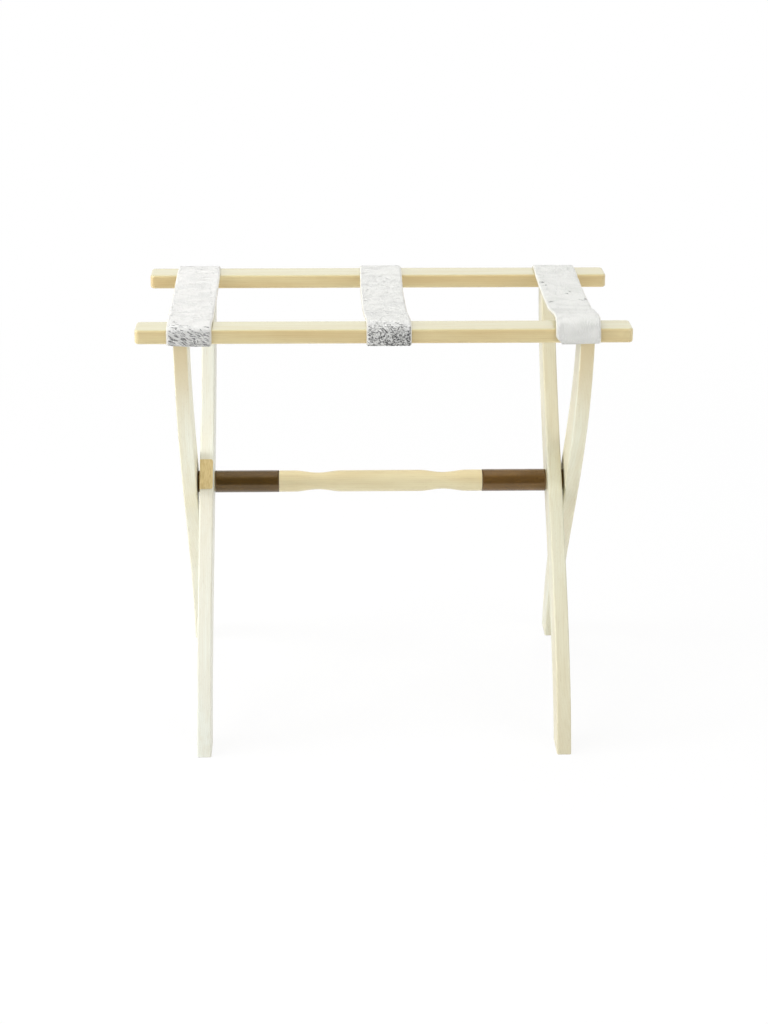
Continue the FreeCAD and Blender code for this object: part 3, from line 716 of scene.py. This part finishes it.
# %% Mesh helpers
def make_piece(name, points, faces, finish, values=None, places=None):
    """A smooth mesh object with one finish, and with numbers on its points that the finish can read."""
    mesh = bpy.data.meshes.new(name)
    mesh.from_pydata(np.asarray(points).reshape(-1, 3).tolist(), [], faces)
    mesh.polygons.foreach_set("use_smooth", [True] * len(mesh.polygons))
    for key, numbers in (values or {}).items():
        stored = mesh.attributes.new(key, "FLOAT", "POINT")
        stored.data.foreach_set("value", np.asarray(numbers, float).ravel())
    if places is not None:
        stored = mesh.attributes.new("strap_place", "FLOAT_VECTOR", "POINT")
        stored.data.foreach_set("vector", np.asarray(places, float).ravel())
    mesh.materials.append(finish)
    mesh.update()
    piece = bpy.data.objects.new(name, mesh)
    bpy.context.scene.collection.objects.link(piece)
    return piece


def ring_faces(rings, around):
    """Faces that join rings of points, and close both ends."""
    faces = []
    for ring in range(rings - 1):
        for spot in range(around):
            after = (spot + 1) % around
            faces.append((ring * around + spot, ring * around + after,
                          (ring + 1) * around + after, (ring + 1) * around + spot))
    faces.append(tuple(reversed(range(around))))
    faces.append(tuple(range((rings - 1) * around, rings * around)))
    return faces


SLIVER_POINTS = 10      # a root, two rings of four and a tip


def spindles(lines, side, up, width, height):
    """Thin closed slivers along many short lines of four points. side and up are each one's directions."""
    count = len(lines)
    points = np.zeros((count, SLIVER_POINTS, 3))
    points[:, 0], points[:, -1] = lines[:, 0], lines[:, 3]
    for ring, fat in ((1, 1.0), (2, 0.8)):
        for spot, (along_side, along_up) in enumerate(((1, 0), (0, 1), (-1, 0), (0, -1))):
            aside = side * (along_side * fat * width / 2)[:, None]
            raised = up * (along_up * fat * height / 2)[:, None]
            points[:, 1 + 4 * (ring - 1) + spot] = lines[:, ring] + aside + raised
    pattern = [(0, 1 + (s + 1) % 4, 1 + s) for s in range(4)]
    pattern += [(1 + s, 1 + (s + 1) % 4, 5 + (s + 1) % 4, 5 + s) for s in range(4)]
    pattern += [(5 + s, 5 + (s + 1) % 4, 9) for s in range(4)]
    faces = [tuple(SLIVER_POINTS * one + spot for spot in face) for one in range(count) for face in pattern]
    return points, faces


one_sliver = spindles(np.zeros((1, 4, 3)), np.zeros((1, 3)), np.zeros((1, 3)), np.ones(1), np.ones(1))
print("a sliver has", len(one_sliver[1]), "faces")

# %% [markdown]
# ## The leather of the straps
#
# Under the hair is a strip of pale leather that is a little wider than the hair coat, so it shows as a cream
# border along both edges. Its face is finely grained and its underside is suede. The finish reads the places
# that were stored on the points, so the grain bends with the strap.

# %% Leather finish
def border_finish():
    """Cream leather with fine grain, faint stains and darker cut edges."""
    material, tree, shader = new_finish("cream_leather", Specular_IOR_Level=0.35)
    place = node(tree, "Attribute", attribute_name="strap_place", out=1)
    stains = noise(tree, place, 60, 3)
    grain = node(tree, "TexVoronoi", {"Vector": place, "Scale": 1100.0}, feature="DISTANCE_TO_EDGE")
    sideways = node(tree, "SeparateXYZ", {"Vector": node(tree, "TexCoord", out="Normal")}, out="X")
    cut = fade(tree, math_node(tree, "ABSOLUTE", sideways), 0.55, 0.9, 0, 0.8)
    face = blend_colours(tree, fade(tree, stains, 0.35, 0.7), rgb(236, 234, 226), rgb(225, 222, 211))
    fill(tree, shader, {"Base Color": blend_colours(tree, cut, face, rgb(200, 194, 178)),
                        "Roughness": fade(tree, stains, 0.3, 0.7, 0.58, 0.72)})
    add_bump(tree, shader, fade(tree, grain, 0.0, 0.25), 0.08 * MM, 0.6)
    return material


cream_leather = border_finish()
print("border:", cream_leather.name)

# %% Cut each strip
# From where to where across the strap each tongue goes. The outer ones leave room for the legs.
TONGUES = {
    "left": {"front": (-1.8, 27.3), "rear": (-27.5, -0.6)},
    "middle": {"front": (-STRAP_HALF, STRAP_HALF), "rear": (-STRAP_HALF, STRAP_HALF)},
    "right": {"front": (-20.0, 1.6), "rear": (0.6, 27.5)},
}
LIP_DEPTH = 0.6         # how far in under the rail a strap narrows, and over what length
NOTCH_STEP = 1.6
LEATHER_THICK = 2.15
LEATHER_TOP = -1.15     # heights are measured from the outer side of the hair
LEATHER_BOTTOM = LEATHER_TOP - LEATHER_THICK
LEATHER_ROUND = 0.5
BORDER = 1.1
CUT_CORNER = 6.5        # the corner that is cut off the right strap's front end, and where along the strap
CUT_CORNER_FADE = (30, 43)
# Where a strap reaches its full width, measured from its front end, and where it narrows again, measured from
# its rear end.
WIDENS = (60, 130)
NARROWS = (100, 50)
# Columns of points across a strip, as shares of its width, close together at the edges.
EDGE_COLUMNS = np.array([0, 0.004, 0.012, 0.028])
MIDDLE_COLUMNS = np.linspace(0.05, 0.95, 34)


def strap_edges(name, along, inset=0.0):
    """The left and right edge of a strap along its line. Under a rail, only the tongue goes on."""
    line = STRAPS[name]["line"]
    length = line["length"]
    y = np.interp(along, line["along"], line["point"][:, 0])
    z = np.interp(along, line["along"], line["point"][:, 1])
    turned_in = OUTER_FACE - np.abs(y)
    between = smooth_step(along, *WIDENS) * (1 - smooth_step(along, length - NARROWS[0], length - NARROWS[1]))
    low, high = -STRAP_HALF - SPREAD[name] * between, STRAP_HALF + SPREAD[name] * between
    for end, rows in (("front", along < length / 2), ("rear", along > length / 2)):
        under = rows & (z < RAIL_BOTTOM)
        share = np.where(under, smooth_step(turned_in, LIP_DEPTH - NOTCH_STEP, LIP_DEPTH), 0)
        if name == "right" and end == "front":
            low = low + CUT_CORNER * (1 - smooth_step(along, *CUT_CORNER_FADE)) * (along < length / 2)
        low = low + share * (TONGUES[name][end][0] - low)
        high = high + share * (TONGUES[name][end][1] - high)
    return low + inset, high - inset


def strip_rings(along, low, high, bottom, top, round_off, slope):
    """Rings of points round a strip: over its top from edge to edge, and back under it. Each edge falls off
    by round_off over the width of slope."""
    share = np.concatenate([EDGE_COLUMNS, MIDDLE_COLUMNS, 1 - EDGE_COLUMNS[::-1]])
    over = low[:, None] + share * (high - low)[:, None]
    from_edge = np.minimum(over - low[:, None], high[:, None] - over)
    dip = round_off * (1 - np.sqrt(1 - (1 - np.clip(from_edge / slope, 0, 1)) ** 2))
    across = np.concatenate([over, over[:, ::-1]], axis=1)
    lift = np.concatenate([top - dip, np.full(over.shape, bottom)], axis=1)
    return across, np.broadcast_to(along[:, None], across.shape), lift


leathers = {}
for name in STRAPS:
    along = STRAPS[name]["line"]["along"]
    low, high = strap_edges(name, along)
    rings = strip_rings(along, low, high, LEATHER_BOTTOM, LEATHER_TOP, LEATHER_ROUND, LEATHER_ROUND)
    points, places = on_strap(name, *rings), place_of(name, rings[0], rings[1])
    faces = ring_faces(len(along), rings[0].shape[1])
    leathers[name] = make_piece(f"{name}_strap_leather", points, faces, cream_leather, places=places)
    print(leathers[name].name, len(faces), "faces")

# %% [markdown]
# ## The hair coat
#
# Cow hair is short and lies flat, so from a little way off it is a soft, slightly domed layer on the leather
# rather than single hairs. It is modelled as a second skin that stops short of the leather's edges. Its
# finish draws fine streaks along the lie of the hair, with a faint grey cloud here and there, and dark roots
# where the hide turns salt and pepper. How dark each point may get is stored on the mesh as soot.

# %% Hair finish
SOOT_GREY = rgb(66, 66, 68)
LOCK_GREY = rgb(196, 198, 196)
STREAK_SLANT = math.radians(48)     # how far the dark streaks lean from the lie of the coat


def hair_finish(name, white, cloud, mottle):
    """White hair with grey clouds. Dark streaks show where the stored soot is high."""
    material, tree, shader = new_finish(f"{name}_strap_hair", Roughness=0.62, Sheen_Weight=0.1,
                                        Sheen_Roughness=0.5, Specular_IOR_Level=0.3)
    place = node(tree, "Attribute", attribute_name="strap_place", out=1)
    soot = node(tree, "Attribute", attribute_name="soot", out=2)
    sway = noise(tree, place, 40, 2)
    aside = node(tree, "CombineXYZ", {"X": math_node(tree, "MULTIPLY", sway, 0.008)})
    bent = node(tree, "VectorMath", {0: place, 1: aside}, operation="ADD")
    strands = noise(tree, stretch(tree, bent, (2600, 170, 1)), detail=3)
    locks = noise(tree, stretch(tree, bent, (620, 90, 1)), detail=3)
    slanting = noise(tree, stretch(tree, bent, (780, 150, 1), turned=(0, 0, STREAK_SLANT)), detail=3)
    clouds = noise(tree, place, 32, 2)
    clean = blend_colours(tree, fade(tree, clouds, 0.42, 0.66), white, cloud)
    combed = blend_colours(tree, fade(tree, locks, 0.40, 0.68, 0, mottle), clean, LOCK_GREY)
    shade = math_node(tree, "MULTIPLY", fade(tree, slanting, 0.40, 0.58), soot)
    sooty = blend_colours(tree, math_node(tree, "MULTIPLY", shade, 0.85), combed, SOOT_GREY)
    tree.links.new(sooty, shader.inputs["Base Color"])
    height = math_node(tree, "ADD", strands, math_node(tree, "MULTIPLY", locks, 0.8))
    add_bump(tree, shader, height, 0.14 * MM, 0.6)
    return material


HAIR_FINISHES = {
    "left": hair_finish("left", rgb(224, 223, 220), rgb(212, 212, 209), 0.12),
    "middle": hair_finish("middle", rgb(220, 220, 216), rgb(209, 209, 206), 0.12),
    "right": hair_finish("right", rgb(220, 220, 216), rgb(209, 210, 205), 0.12),
}
print("hair:", [finish.name for finish in HAIR_FINISHES.values()])

# %% Lay the coat on each strip
COAT_BOTTOM = LEATHER_TOP - 0.15
COAT_ROUND = 0.8
COAT_SLOPE = 1.7
COAT_INSET = 1          # the coat ends this far before the leather does
# How far the coat's edges wander, how much shorter than the ripples their waves are, and how many there are.
RAGGED = 0.25
RAGGED_FINER = 3
RAGGED_WAVES = 10
# How far the hair is pressed flat under the rails, and the distances from a strap's end between which it
# rises.
PRESSED = 0.5
PRESSED_FADE = (28, 44)
# Where the dark hair is on the front wraps: from where to where along the strap it fades out, and how much
# of it is painted on the coat. The rest of it is the locks that come later.
SOOT_FADE = {"left": (49, 64), "middle": (58, 76)}
SOOT_TILT = {"left": 0.2, "middle": 0.4}
SOOT_STRENGTH = {"left": 0.15, "middle": 0.5, "right": 0.0}
SOOT_RAGGED = 4         # how far the dark hair's border wanders, in waves that are shorter than the ripples
SOOT_FINER = (3, 2)


def soot_at(name, across, along):
    """How dark the hair may be, from 0 to 1."""
    if name not in SOOT_FADE:
        return np.zeros(np.broadcast(across, along).shape)
    start, end = SOOT_FADE[name]
    border = waves(SEEDS["soot"] + len(name), across * SOOT_FINER[0], along * SOOT_FINER[1])
    ragged = along + SOOT_RAGGED * border + SOOT_TILT[name] * across
    return 1 - smooth_step(ragged, start, end)


def pressed_at(name, along):
    """How far the hair is pressed flat under a rail, in millimetres."""
    length = STRAPS[name]["line"]["length"]
    from_end = np.minimum(along, length - along)
    return PRESSED * (1 - smooth_step(from_end, *PRESSED_FADE))


coats = {}
for name in STRAPS:
    along = STRAPS[name]["line"]["along"]
    along = along[(along > COAT_INSET) & (along < along[-1] - COAT_INSET)]
    low, high = strap_edges(name, along, BORDER)
    low = low + RAGGED * waves(SEEDS["coat_low"], 0 * along, along * RAGGED_FINER, RAGGED_WAVES)
    high = high + RAGGED * waves(SEEDS["coat_high"], 0 * along, along * RAGGED_FINER, RAGGED_WAVES)
    across, rows, lift = strip_rings(along, low, high, COAT_BOTTOM, 0.0, COAT_ROUND, COAT_SLOPE)
    rings = (across, rows, lift - pressed_at(name, rows) * (lift > COAT_BOTTOM))
    points, places = on_strap(name, *rings), place_of(name, rings[0], rings[1])
    soot = soot_at(name, rings[0], rings[1]) * SOOT_STRENGTH[name]
    faces = ring_faces(len(along), rings[0].shape[1])
    coats[name] = make_piece(f"{name}_strap_hair", points, faces, HAIR_FINISHES[name], {"soot": soot}, places)
    print(coats[name].name, len(coats[name].data.polygons), "faces")

# %% [markdown]
# ## Locks of hair
#
# Close up, hide has fine hairs that stand a little off the coat. Each is a thin closed sliver with four
# points along it, bent to the strap's surface, whose root and tip dip into the coat. Pale ones lie all over
# in the direction of the coat. On the front wraps of the left and middle strap, dark and pale hairs lie at a
# slant in tufts of three and make the hide look salt and pepper. A number on each hair's points holds its
# shade. The random places come from a numbered start, so they are the same on each run.

# %% Lock finish
def lock_finish():
    """Hair locks whose shade is stored on their points, from black to white."""
    material, tree, shader = new_finish("hair_locks", Roughness=0.55, Sheen_Weight=0.2, Sheen_Roughness=0.5,
                                        Specular_IOR_Level=0.3)
    place = node(tree, "Attribute", attribute_name="strap_place", out=1)
    shade = node(tree, "Attribute", attribute_name="shade", out=2)
    strands = noise(tree, stretch(tree, place, (3000, 260, 1)), detail=2)
    varied = math_node(tree, "ADD", shade, fade(tree, strands, 0.2, 0.8, -0.06, 0.06))
    tone = blend_colours(tree, varied, rgb(40, 40, 43), rgb(238, 238, 236))
    tree.links.new(tone, shader.inputs["Base Color"])
    add_bump(tree, shader, strands, 0.06 * MM, 0.5)
    return material


hair_locks = lock_finish()
print("locks:", hair_locks.name)

# %% Grow the locks
LOCK_SHARES = np.array([0.0, 0.3, 0.7, 1.0])
LOCK_LIFT = np.array([-0.30, 0.16, 0.20, -0.20])
LOCK_MARGIN = 0.2       # between a lock's ends and the coat's edge
LOCK_SHIFT = 7.0        # how far a lock may be moved to fit on the coat
SCATTER_FROM = 14       # no lock starts nearer to a strap's end than this
SCATTER_SPARE = 40      # places drawn for each one that is kept


def settle(name, across, along, reach, run):
    """Move locks sideways until both ends are on the hair coat. Also says which ones that works for."""
    least, most = np.full(len(across), -np.inf), np.full(len(across), np.inf)
    for end in (-0.5, 0.5):
        low, high = strap_edges(name, along - end * run, BORDER + LOCK_MARGIN)
        least, most = np.maximum(least, low - end * reach), np.minimum(most, high - end * reach)
    settled = np.clip(across, least, most)
    return settled, (most > least) & (np.abs(settled - across) < LOCK_SHIFT)


def grow(name, across, along, length, angle, width, height, stand, shade):
    """Slivers of hair with their middles at some places, turned by an angle from the strap's line to +X."""
    across, good = settle(name, across, along, length * np.sin(angle), length * np.cos(angle))
    across, along, length, angle, width, height, stand, shade = (
        values[good] for values in (across, along, length, angle, width, height, stand, shade))
    run = (LOCK_SHARES[None] - 0.5) * length[:, None]
    spots_across = across[:, None] + run * np.sin(angle)[:, None]
    spots_along = along[:, None] - run * np.cos(angle)[:, None]
    sunk = pressed_at(name, spots_along)
    line = on_strap(name, spots_across, spots_along, LOCK_LIFT[None] * stand[:, None] - sunk)
    above = on_strap(name, spots_across[:, 1:2], spots_along[:, 1:2], 1.0)[:, 0]
    beneath = on_strap(name, spots_across[:, 1:2], spots_along[:, 1:2], 0.0)[:, 0]
    up = above - beneath
    up /= np.linalg.norm(up, axis=1)[:, None]
    ahead = line[:, 2] - line[:, 1]
    side = np.cross(ahead, up)
    side /= np.linalg.norm(side, axis=1)[:, None]
    points, faces = spindles(line, side, up, width * MM, height * MM)
    share = np.repeat(LOCK_SHARES, (1, 4, 4, 1)) - 0.5
    at_across = across[:, None] + share * (length * np.sin(angle))[:, None]
    at_along = along[:, None] - share * (length * np.cos(angle))[:, None]
    return points, faces, place_of(name, at_across, at_along), shade


def scatter(name, count, seed, keep):
    """Random places on the hair coat where keep(across, along) is true."""
    rng = np.random.default_rng(seed)
    length = STRAPS[name]["line"]["length"]
    across = rng.uniform(-STRAP_HALF, STRAP_HALF, SCATTER_SPARE * count)
    along = rng.uniform(SCATTER_FROM, length - SCATTER_FROM, SCATTER_SPARE * count)
    good = keep(across, along)
    return across[good][:count], along[good][:count], rng


print("a hair stands", LOCK_LIFT.max(), "mm off the coat at its highest")

# %% Pale locks all over, dark ones in the salt and pepper
# Pale hairs: how many, the spread of their slant in degrees and how far it sways, the range of length, and
# how much their shade differs from their strap's.
PALE = {"count": 2600, "spread": 12, "sway": 14, "length": (7, 13), "tint": (-0.05, 0.02)}
PALE_SHADE = {"left": 0.93, "middle": 0.90, "right": 0.90}
SLANT_WAVES = 5
# For each strap's salt and pepper: the number of tufts, the share of dark ones, how it grows towards the
# right and over how many millimetres it falls off upwards, the mean and spread of the slant in degrees, the
# range of length, and the dark ones' range of shade.
PEPPER = {
    "left": {"tufts": 560, "dark": 0.355, "lean": 0.001, "fall": 110,
             "slant": 62, "spread": 14, "length": (8, 13), "shades": (0.08, 0.40)},
    "middle": {"tufts": 950, "dark": 0.42, "lean": 0.006, "fall": 75,
               "slant": 60, "spread": 38, "length": (3, 6), "shades": (0.0, 0.28)},
}
PEPPER_SWAY = 10
PEPPER_WHITES = (0.84, 1.0)
DARK_LEVEL = 46         # the place along a strap where its share of dark tufts is as given
# How much that share changes from one patch to the next, in how many waves, and how much shorter than the
# ripples they are.
DARK_BAND = 0.16
BAND_WAVES = 8
BAND_FINER = (1.2, 1.6)
# Pale hairs grow where the soot is below the first of these, and salt and pepper where it is above the other.
SOOT_BARE = 0.5
SOOT_THICK = 0.25
# Each tuft's hairs and the gap between them, how far they stray sideways and lengthways, and how much they
# differ from their stroke in length, slant and shade.
TUFT_HAIRS = 3
TUFT_GAP = 0.34
TUFT_STRAY = (0.08, 0.5)
TUFT_LENGTH = (0.75, 1.1)
TUFT_SLANT = 0.05
TUFT_SHADE = 0.04
# For each kind of hair: the ranges of its width, its height, and how far it stands off the coat.
HAIR_SIZES = {
    "pale": ((0.3, 0.5), (0.16, 0.26), (0.5, 1.0)),
    "pepper": ((0.38, 0.55), (0.3, 0.45), (0.8, 1.4)),
    "marks": ((0.38, 0.5), (0.25, 0.35), (0.8, 1.2)),
}
# The hairs of a small dark mark: how far they lie from its middle across and along, the range of length, the
# mean and spread of the slant, and the range of shade.
MARK = {"off": (1.8, 2.0), "length": (3, 5), "slant": 66, "spread": 18, "shades": (0.1, 0.4)}
# The marks on the rest of the hide: across, along, how many locks.
DARK_MARKS = {
    "left": [(-18, 77, 3), (-8, 62, 3), (-14, 68, 2)],
    "middle": [(-22, 215, 2)],
    "right": [(-21, 304, 6), (-18, 290, 3), (-22, 203, 7), (24, 215, 5), (20, 211, 3), (7, 247, 2),
              (8, 256, 2)],
}


def fray(rng, across, along, length, slant, shade):
    """Turn each stroke into a tuft of a few fine hairs side by side."""
    across, along, length, slant, shade = (np.repeat(values, TUFT_HAIRS)
                                           for values in (across, along, length, slant, shade))
    count = len(across)
    aside = (np.arange(count) % TUFT_HAIRS - (TUFT_HAIRS - 1) / 2) * TUFT_GAP
    aside = aside + rng.normal(0, TUFT_STRAY[0], count)
    ahead = rng.normal(0, TUFT_STRAY[1], count)
    across = across + aside * np.cos(slant) + ahead * np.sin(slant)
    along = along + aside * np.sin(slant) - ahead * np.cos(slant)
    length = length * rng.uniform(*TUFT_LENGTH, count)
    slant = slant + rng.normal(0, TUFT_SLANT, count)
    return across, along, length, slant, shade + rng.uniform(-TUFT_SHADE, TUFT_SHADE, count)


def grow_kind(kind, name, rng, across, along, length, slant, shade):
    """Grow hairs whose width, height and stand are drawn from their kind's ranges."""
    sizes = [rng.uniform(low, high, len(across)) for low, high in HAIR_SIZES[kind]]
    return grow(name, across, along, length, slant, *sizes, shade)


def pale_locks(name, seed):
    """Fine, nearly white hairs that lie along the strap, towards the front."""
    across, along, rng = scatter(name, PALE["count"], seed, lambda x, s: soot_at(name, x, s) < SOOT_BARE)
    count = len(across)
    slant = rng.normal(0, PALE["spread"], count) + PALE["sway"] * waves(seed, across, along, SLANT_WAVES)
    shade = PALE_SHADE[name] + rng.uniform(*PALE["tint"], count)
    length = rng.uniform(*PALE["length"], count)
    return grow_kind("pale", name, rng, across, along, length, np.radians(slant), shade)


def pepper_locks(name, seed):
    """Dark and pale tufts at a slant on a front wrap, darker towards its lower edge."""
    look = PEPPER[name]
    across, along, rng = scatter(name, look["tufts"], seed, lambda x, s: soot_at(name, x, s) > SOOT_THICK)
    count = len(across)
    slant = look["slant"] + rng.normal(0, look["spread"], count)
    slant = slant + PEPPER_SWAY * waves(seed, across, along, SLANT_WAVES)
    band = DARK_BAND * waves(seed + 1, along * BAND_FINER[0], across * BAND_FINER[1], BAND_WAVES)
    lower = (DARK_LEVEL - along) / look["fall"]
    dark = rng.uniform(0, 1, count) < look["dark"] + band + lower + look["lean"] * across
    shade = np.where(dark, rng.uniform(*look["shades"], count), rng.uniform(*PEPPER_WHITES, count))
    length = rng.uniform(*look["length"], count)
    tufts = fray(rng, across, along, length, np.radians(slant), shade)
    return grow_kind("pepper", name, rng, *tufts)


def mark_locks(name, seed):
    """A few little groups of grey hairs."""
    rng = np.random.default_rng(seed)
    across = np.concatenate([rng.normal(x, MARK["off"][0], count) for x, _, count in DARK_MARKS[name]])
    along = np.concatenate([rng.normal(s, MARK["off"][1], count) for _, s, count in DARK_MARKS[name]])
    count = len(across)
    length = rng.uniform(*MARK["length"], count)
    slant = np.radians(rng.normal(MARK["slant"], MARK["spread"], count))
    tufts = fray(rng, across, along, length, slant, rng.uniform(*MARK["shades"], count))
    return grow_kind("marks", name, rng, *tufts)


locks = {}
for number, name in enumerate(STRAPS):
    groups = [pale_locks(name, SEEDS["pale"] + number), mark_locks(name, SEEDS["marks"] + number)]
    if name in PEPPER:
        groups.append(pepper_locks(name, SEEDS["pepper"] + number))
    points = np.concatenate([group[0] for group in groups])
    faces, start = [], 0
    for group_points, group_faces, _, _ in groups:
        faces += [tuple(start + spot for spot in face) for face in group_faces]
        start += SLIVER_POINTS * len(group_points)
    places = np.concatenate([group[2] for group in groups])
    shades = np.repeat(np.concatenate([group[3] for group in groups]), SLIVER_POINTS)
    locks[name] = make_piece(f"{name}_strap_locks", points, faces, hair_locks, {"shade": shades}, places)
    print(locks[name].name, len(points), "locks")

# %% [markdown]
# ## Settle the straps
#
# Each strap's leather, hair coat and locks get their placement baked into their points, and the
# construction model's own strap parts are hidden.


for name in STRAPS:
    for piece in (leathers[name], coats[name], locks[name]):
        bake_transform(piece)
    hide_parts(f"strap_{name}_front", f"strap_{name}_span", f"strap_{name}_rear")

# %% [markdown]
# ## Leather sleeves
#
# The stretcher's ends are wrapped in brown leather. The piece of leather is a rectangle whose edges meet in a
# butt seam at the back, where it is laced with waxed thread. The sleeve is modelled as a closed skin turned
# round the stretcher, with soft wrinkles and a groove for the seam. The lacing is made of the same slivers as
# the hair, bent over the seam.

# %% Leather and thread finishes
def sleeve_finish(name, brown, worn, dark):
    """Smooth brown leather: small pebbles, worn lighter in places, with a satin shine."""
    material, tree, shader = new_finish(name, Specular_IOR_Level=1.0, Specular_Tint=rgb(255, 230, 196))
    place = node(tree, "TexCoord", out="Object")
    wear = noise(tree, stretch(tree, place, (24, 60, 60)), detail=4)
    pebbles = node(tree, "TexVoronoi", {"Vector": place, "Scale": 900.0}, feature="DISTANCE_TO_EDGE")
    creases = fade(tree, pebbles, 0.0, 0.22)
    ground = blend_colours(tree, fade(tree, wear, 0.38, 0.70), brown, worn)
    fill(tree, shader, {"Base Color": blend_colours(tree, creases, dark, ground),
                        "Roughness": fade(tree, wear, 0.3, 0.7, 0.24, 0.19)})
    add_bump(tree, shader, creases, 0.03 * MM, 0.5)
    return material


def thread_finish():
    """Dark waxed thread with its twist."""
    material, tree, shader = new_finish("waxed_thread", Roughness=0.5)
    place = node(tree, "TexCoord", out="Object")
    twist = node(tree, "TexWave", {"Vector": place, "Scale": 900.0, "Distortion": 1.0}, out="Fac")
    tree.links.new(blend_colours(tree, twist, rgb(46, 35, 25), rgb(78, 61, 44)), shader.inputs["Base Color"])
    add_bump(tree, shader, twist, 0.08 * MM)
    return material


SLEEVE_FINISHES = {
    "left": sleeve_finish("brown_leather", rgb(80, 57, 14), rgb(97, 71, 25), rgb(61, 42, 9)),
    "right": sleeve_finish("red_brown_leather", rgb(103, 73, 30), rgb(120, 88, 41), rgb(79, 55, 20)),
}
waxed_thread = thread_finish()
print("sleeve finishes:", [finish.name for finish in SLEEVE_FINISHES.values()], waxed_thread.name)

# %% Turn and lace the sleeves
SLEEVE_RADIUS = 14.6
SLEEVE_HOLE = 13.05
SLEEVE_EDGE = 0.6       # radius of the leather's cut edges
SEAM_ANGLE = math.radians(-14)
AROUND = 120            # points round a sleeve, and rings along its outside and back through its hole
RINGS_OUT = 70
RINGS_BACK = 6
WRINKLES = 10
WRINKLE = 0.010         # height of one wrinkle, and how far they lie below the sleeve's radius together
WRINKLE_ROOM = 0.16
# The groove at the seam, and the leather that the lacing pulls up on both sides of it, at a distance from it.
GROOVE, GROOVE_WIDTH = 0.55, 0.7
PULLED, PULLED_OFF, PULLED_WIDTH = 0.12, 2.2, 1.0
STITCH_PITCH = 4.2
STITCH_MARGIN = 3       # from a sleeve's ends to the first and the last stitch
STITCH_REACH = 2.4      # from the seam to each end of a stitch, and how far it slants on the way
STITCH_SLANT = 0.9
STITCH_LIFT, STITCH_DIP = 0.25, 0.65
STITCH_WIDTH, STITCH_HEIGHT = 0.9, 0.7


def sleeve_radius(x, angle, seed):
    """Radius of the leather's outer side: slight wrinkles across, and a groove at the seam."""
    rng = np.random.default_rng(seed)
    radius = np.full(np.broadcast(x, angle).shape, SLEEVE_RADIUS - WRINKLE_ROOM)
    for _ in range(WRINKLES):
        turns, pitch, phase = rng.integers(1, 5), rng.uniform(9, 40), rng.uniform(0, 2 * np.pi)
        radius = radius + WRINKLE * np.sin(turns * angle + 2 * np.pi * x / pitch + phase)
    off_seam = np.abs((angle - SEAM_ANGLE + np.pi) % (2 * np.pi) - np.pi) * SLEEVE_RADIUS
    grooved = radius - GROOVE * np.exp(-(off_seam / GROOVE_WIDTH) ** 2)
    return grooved + PULLED * np.exp(-((off_seam - PULLED_OFF) / PULLED_WIDTH) ** 2)


def round_stretcher(x, radius, angle):
    """Points in metres around the stretcher's axis. Angle 0 points to the rear, and 90 degrees up."""
    return np.stack(np.broadcast_arrays(x * MM, radius * np.cos(angle) * MM,
                                        PIVOT_Z + radius * np.sin(angle) * MM), axis=-1)


def sleeve_skin(low_x, high_x, seed):
    """Rings of a closed tube: out along the outside and back along the hole."""
    angle = np.linspace(0, 2 * np.pi, AROUND, endpoint=False)
    bend = np.radians([90, 60, 30, 0])
    corner = [(SLEEVE_EDGE * (1 - math.cos(turn)), -SLEEVE_EDGE * (1 - math.sin(turn))) for turn in bend]
    places = [(low_x + inside, dip) for inside, dip in corner[::-1]]
    places += [(x, 0.0) for x in np.linspace(low_x + SLEEVE_EDGE, high_x - SLEEVE_EDGE, RINGS_OUT)]
    places += [(high_x - inside, dip) for inside, dip in corner]
    rings = [round_stretcher(x, sleeve_radius(x, angle, seed) + dip, angle) for x, dip in places]
    rings += [round_stretcher(x, SLEEVE_HOLE, angle) for x in np.linspace(high_x, low_x, RINGS_BACK)]
    return np.array(rings)


def loop_faces(rings, around):
    """Faces of a skin whose last ring joins its first."""
    faces = []
    for ring in range(rings):
        for spot in range(around):
            after, beyond = (spot + 1) % around, (ring + 1) % rings
            faces.append((ring * around + spot, beyond * around + spot, beyond * around + after,
                          ring * around + after))
    return faces


def seam_stitches(low_x, high_x):
    """Slanting stitches over the seam."""
    starts = np.arange(low_x + STITCH_MARGIN, high_x - STITCH_MARGIN, STITCH_PITCH)
    count = len(starts)
    lines = np.zeros((count, 4, 3))
    for spot, share in enumerate((-1.0, -0.4, 0.4, 1.0)):
        angle = SEAM_ANGLE + share * STITCH_REACH / SLEEVE_RADIUS
        radius = SLEEVE_RADIUS + STITCH_LIFT - STITCH_DIP * abs(share)
        lines[:, spot] = round_stretcher(starts + share * STITCH_SLANT, radius, angle)
    up = np.tile([0, math.cos(SEAM_ANGLE), math.sin(SEAM_ANGLE)], (count, 1))
    side = np.tile([1.0, 0, 0], (count, 1))
    return spindles(lines, side, up, np.full(count, STITCH_WIDTH * MM), np.full(count, STITCH_HEIGHT * MM))


for side_name in ("left", "right"):
    low_corner, high_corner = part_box(f"sleeve_{side_name}")
    low_x, high_x = low_corner.x / MM, high_corner.x / MM
    rings = sleeve_skin(low_x, high_x, SEEDS["sleeve"] + len(side_name))
    faces = loop_faces(len(rings), AROUND)
    sleeve = make_piece(f"{side_name}_sleeve", rings, faces, SLEEVE_FINISHES[side_name])
    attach(sleeve, "inner_frame")
    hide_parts(f"sleeve_{side_name}")
    points, faces = seam_stitches(low_x, high_x)
    lacing = make_piece(f"{side_name}_sleeve_lacing", points, faces, waxed_thread)
    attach(lacing, "inner_frame")
    print(sleeve.name, f"{high_x - low_x:.0f} mm long,", len(points), "stitches")
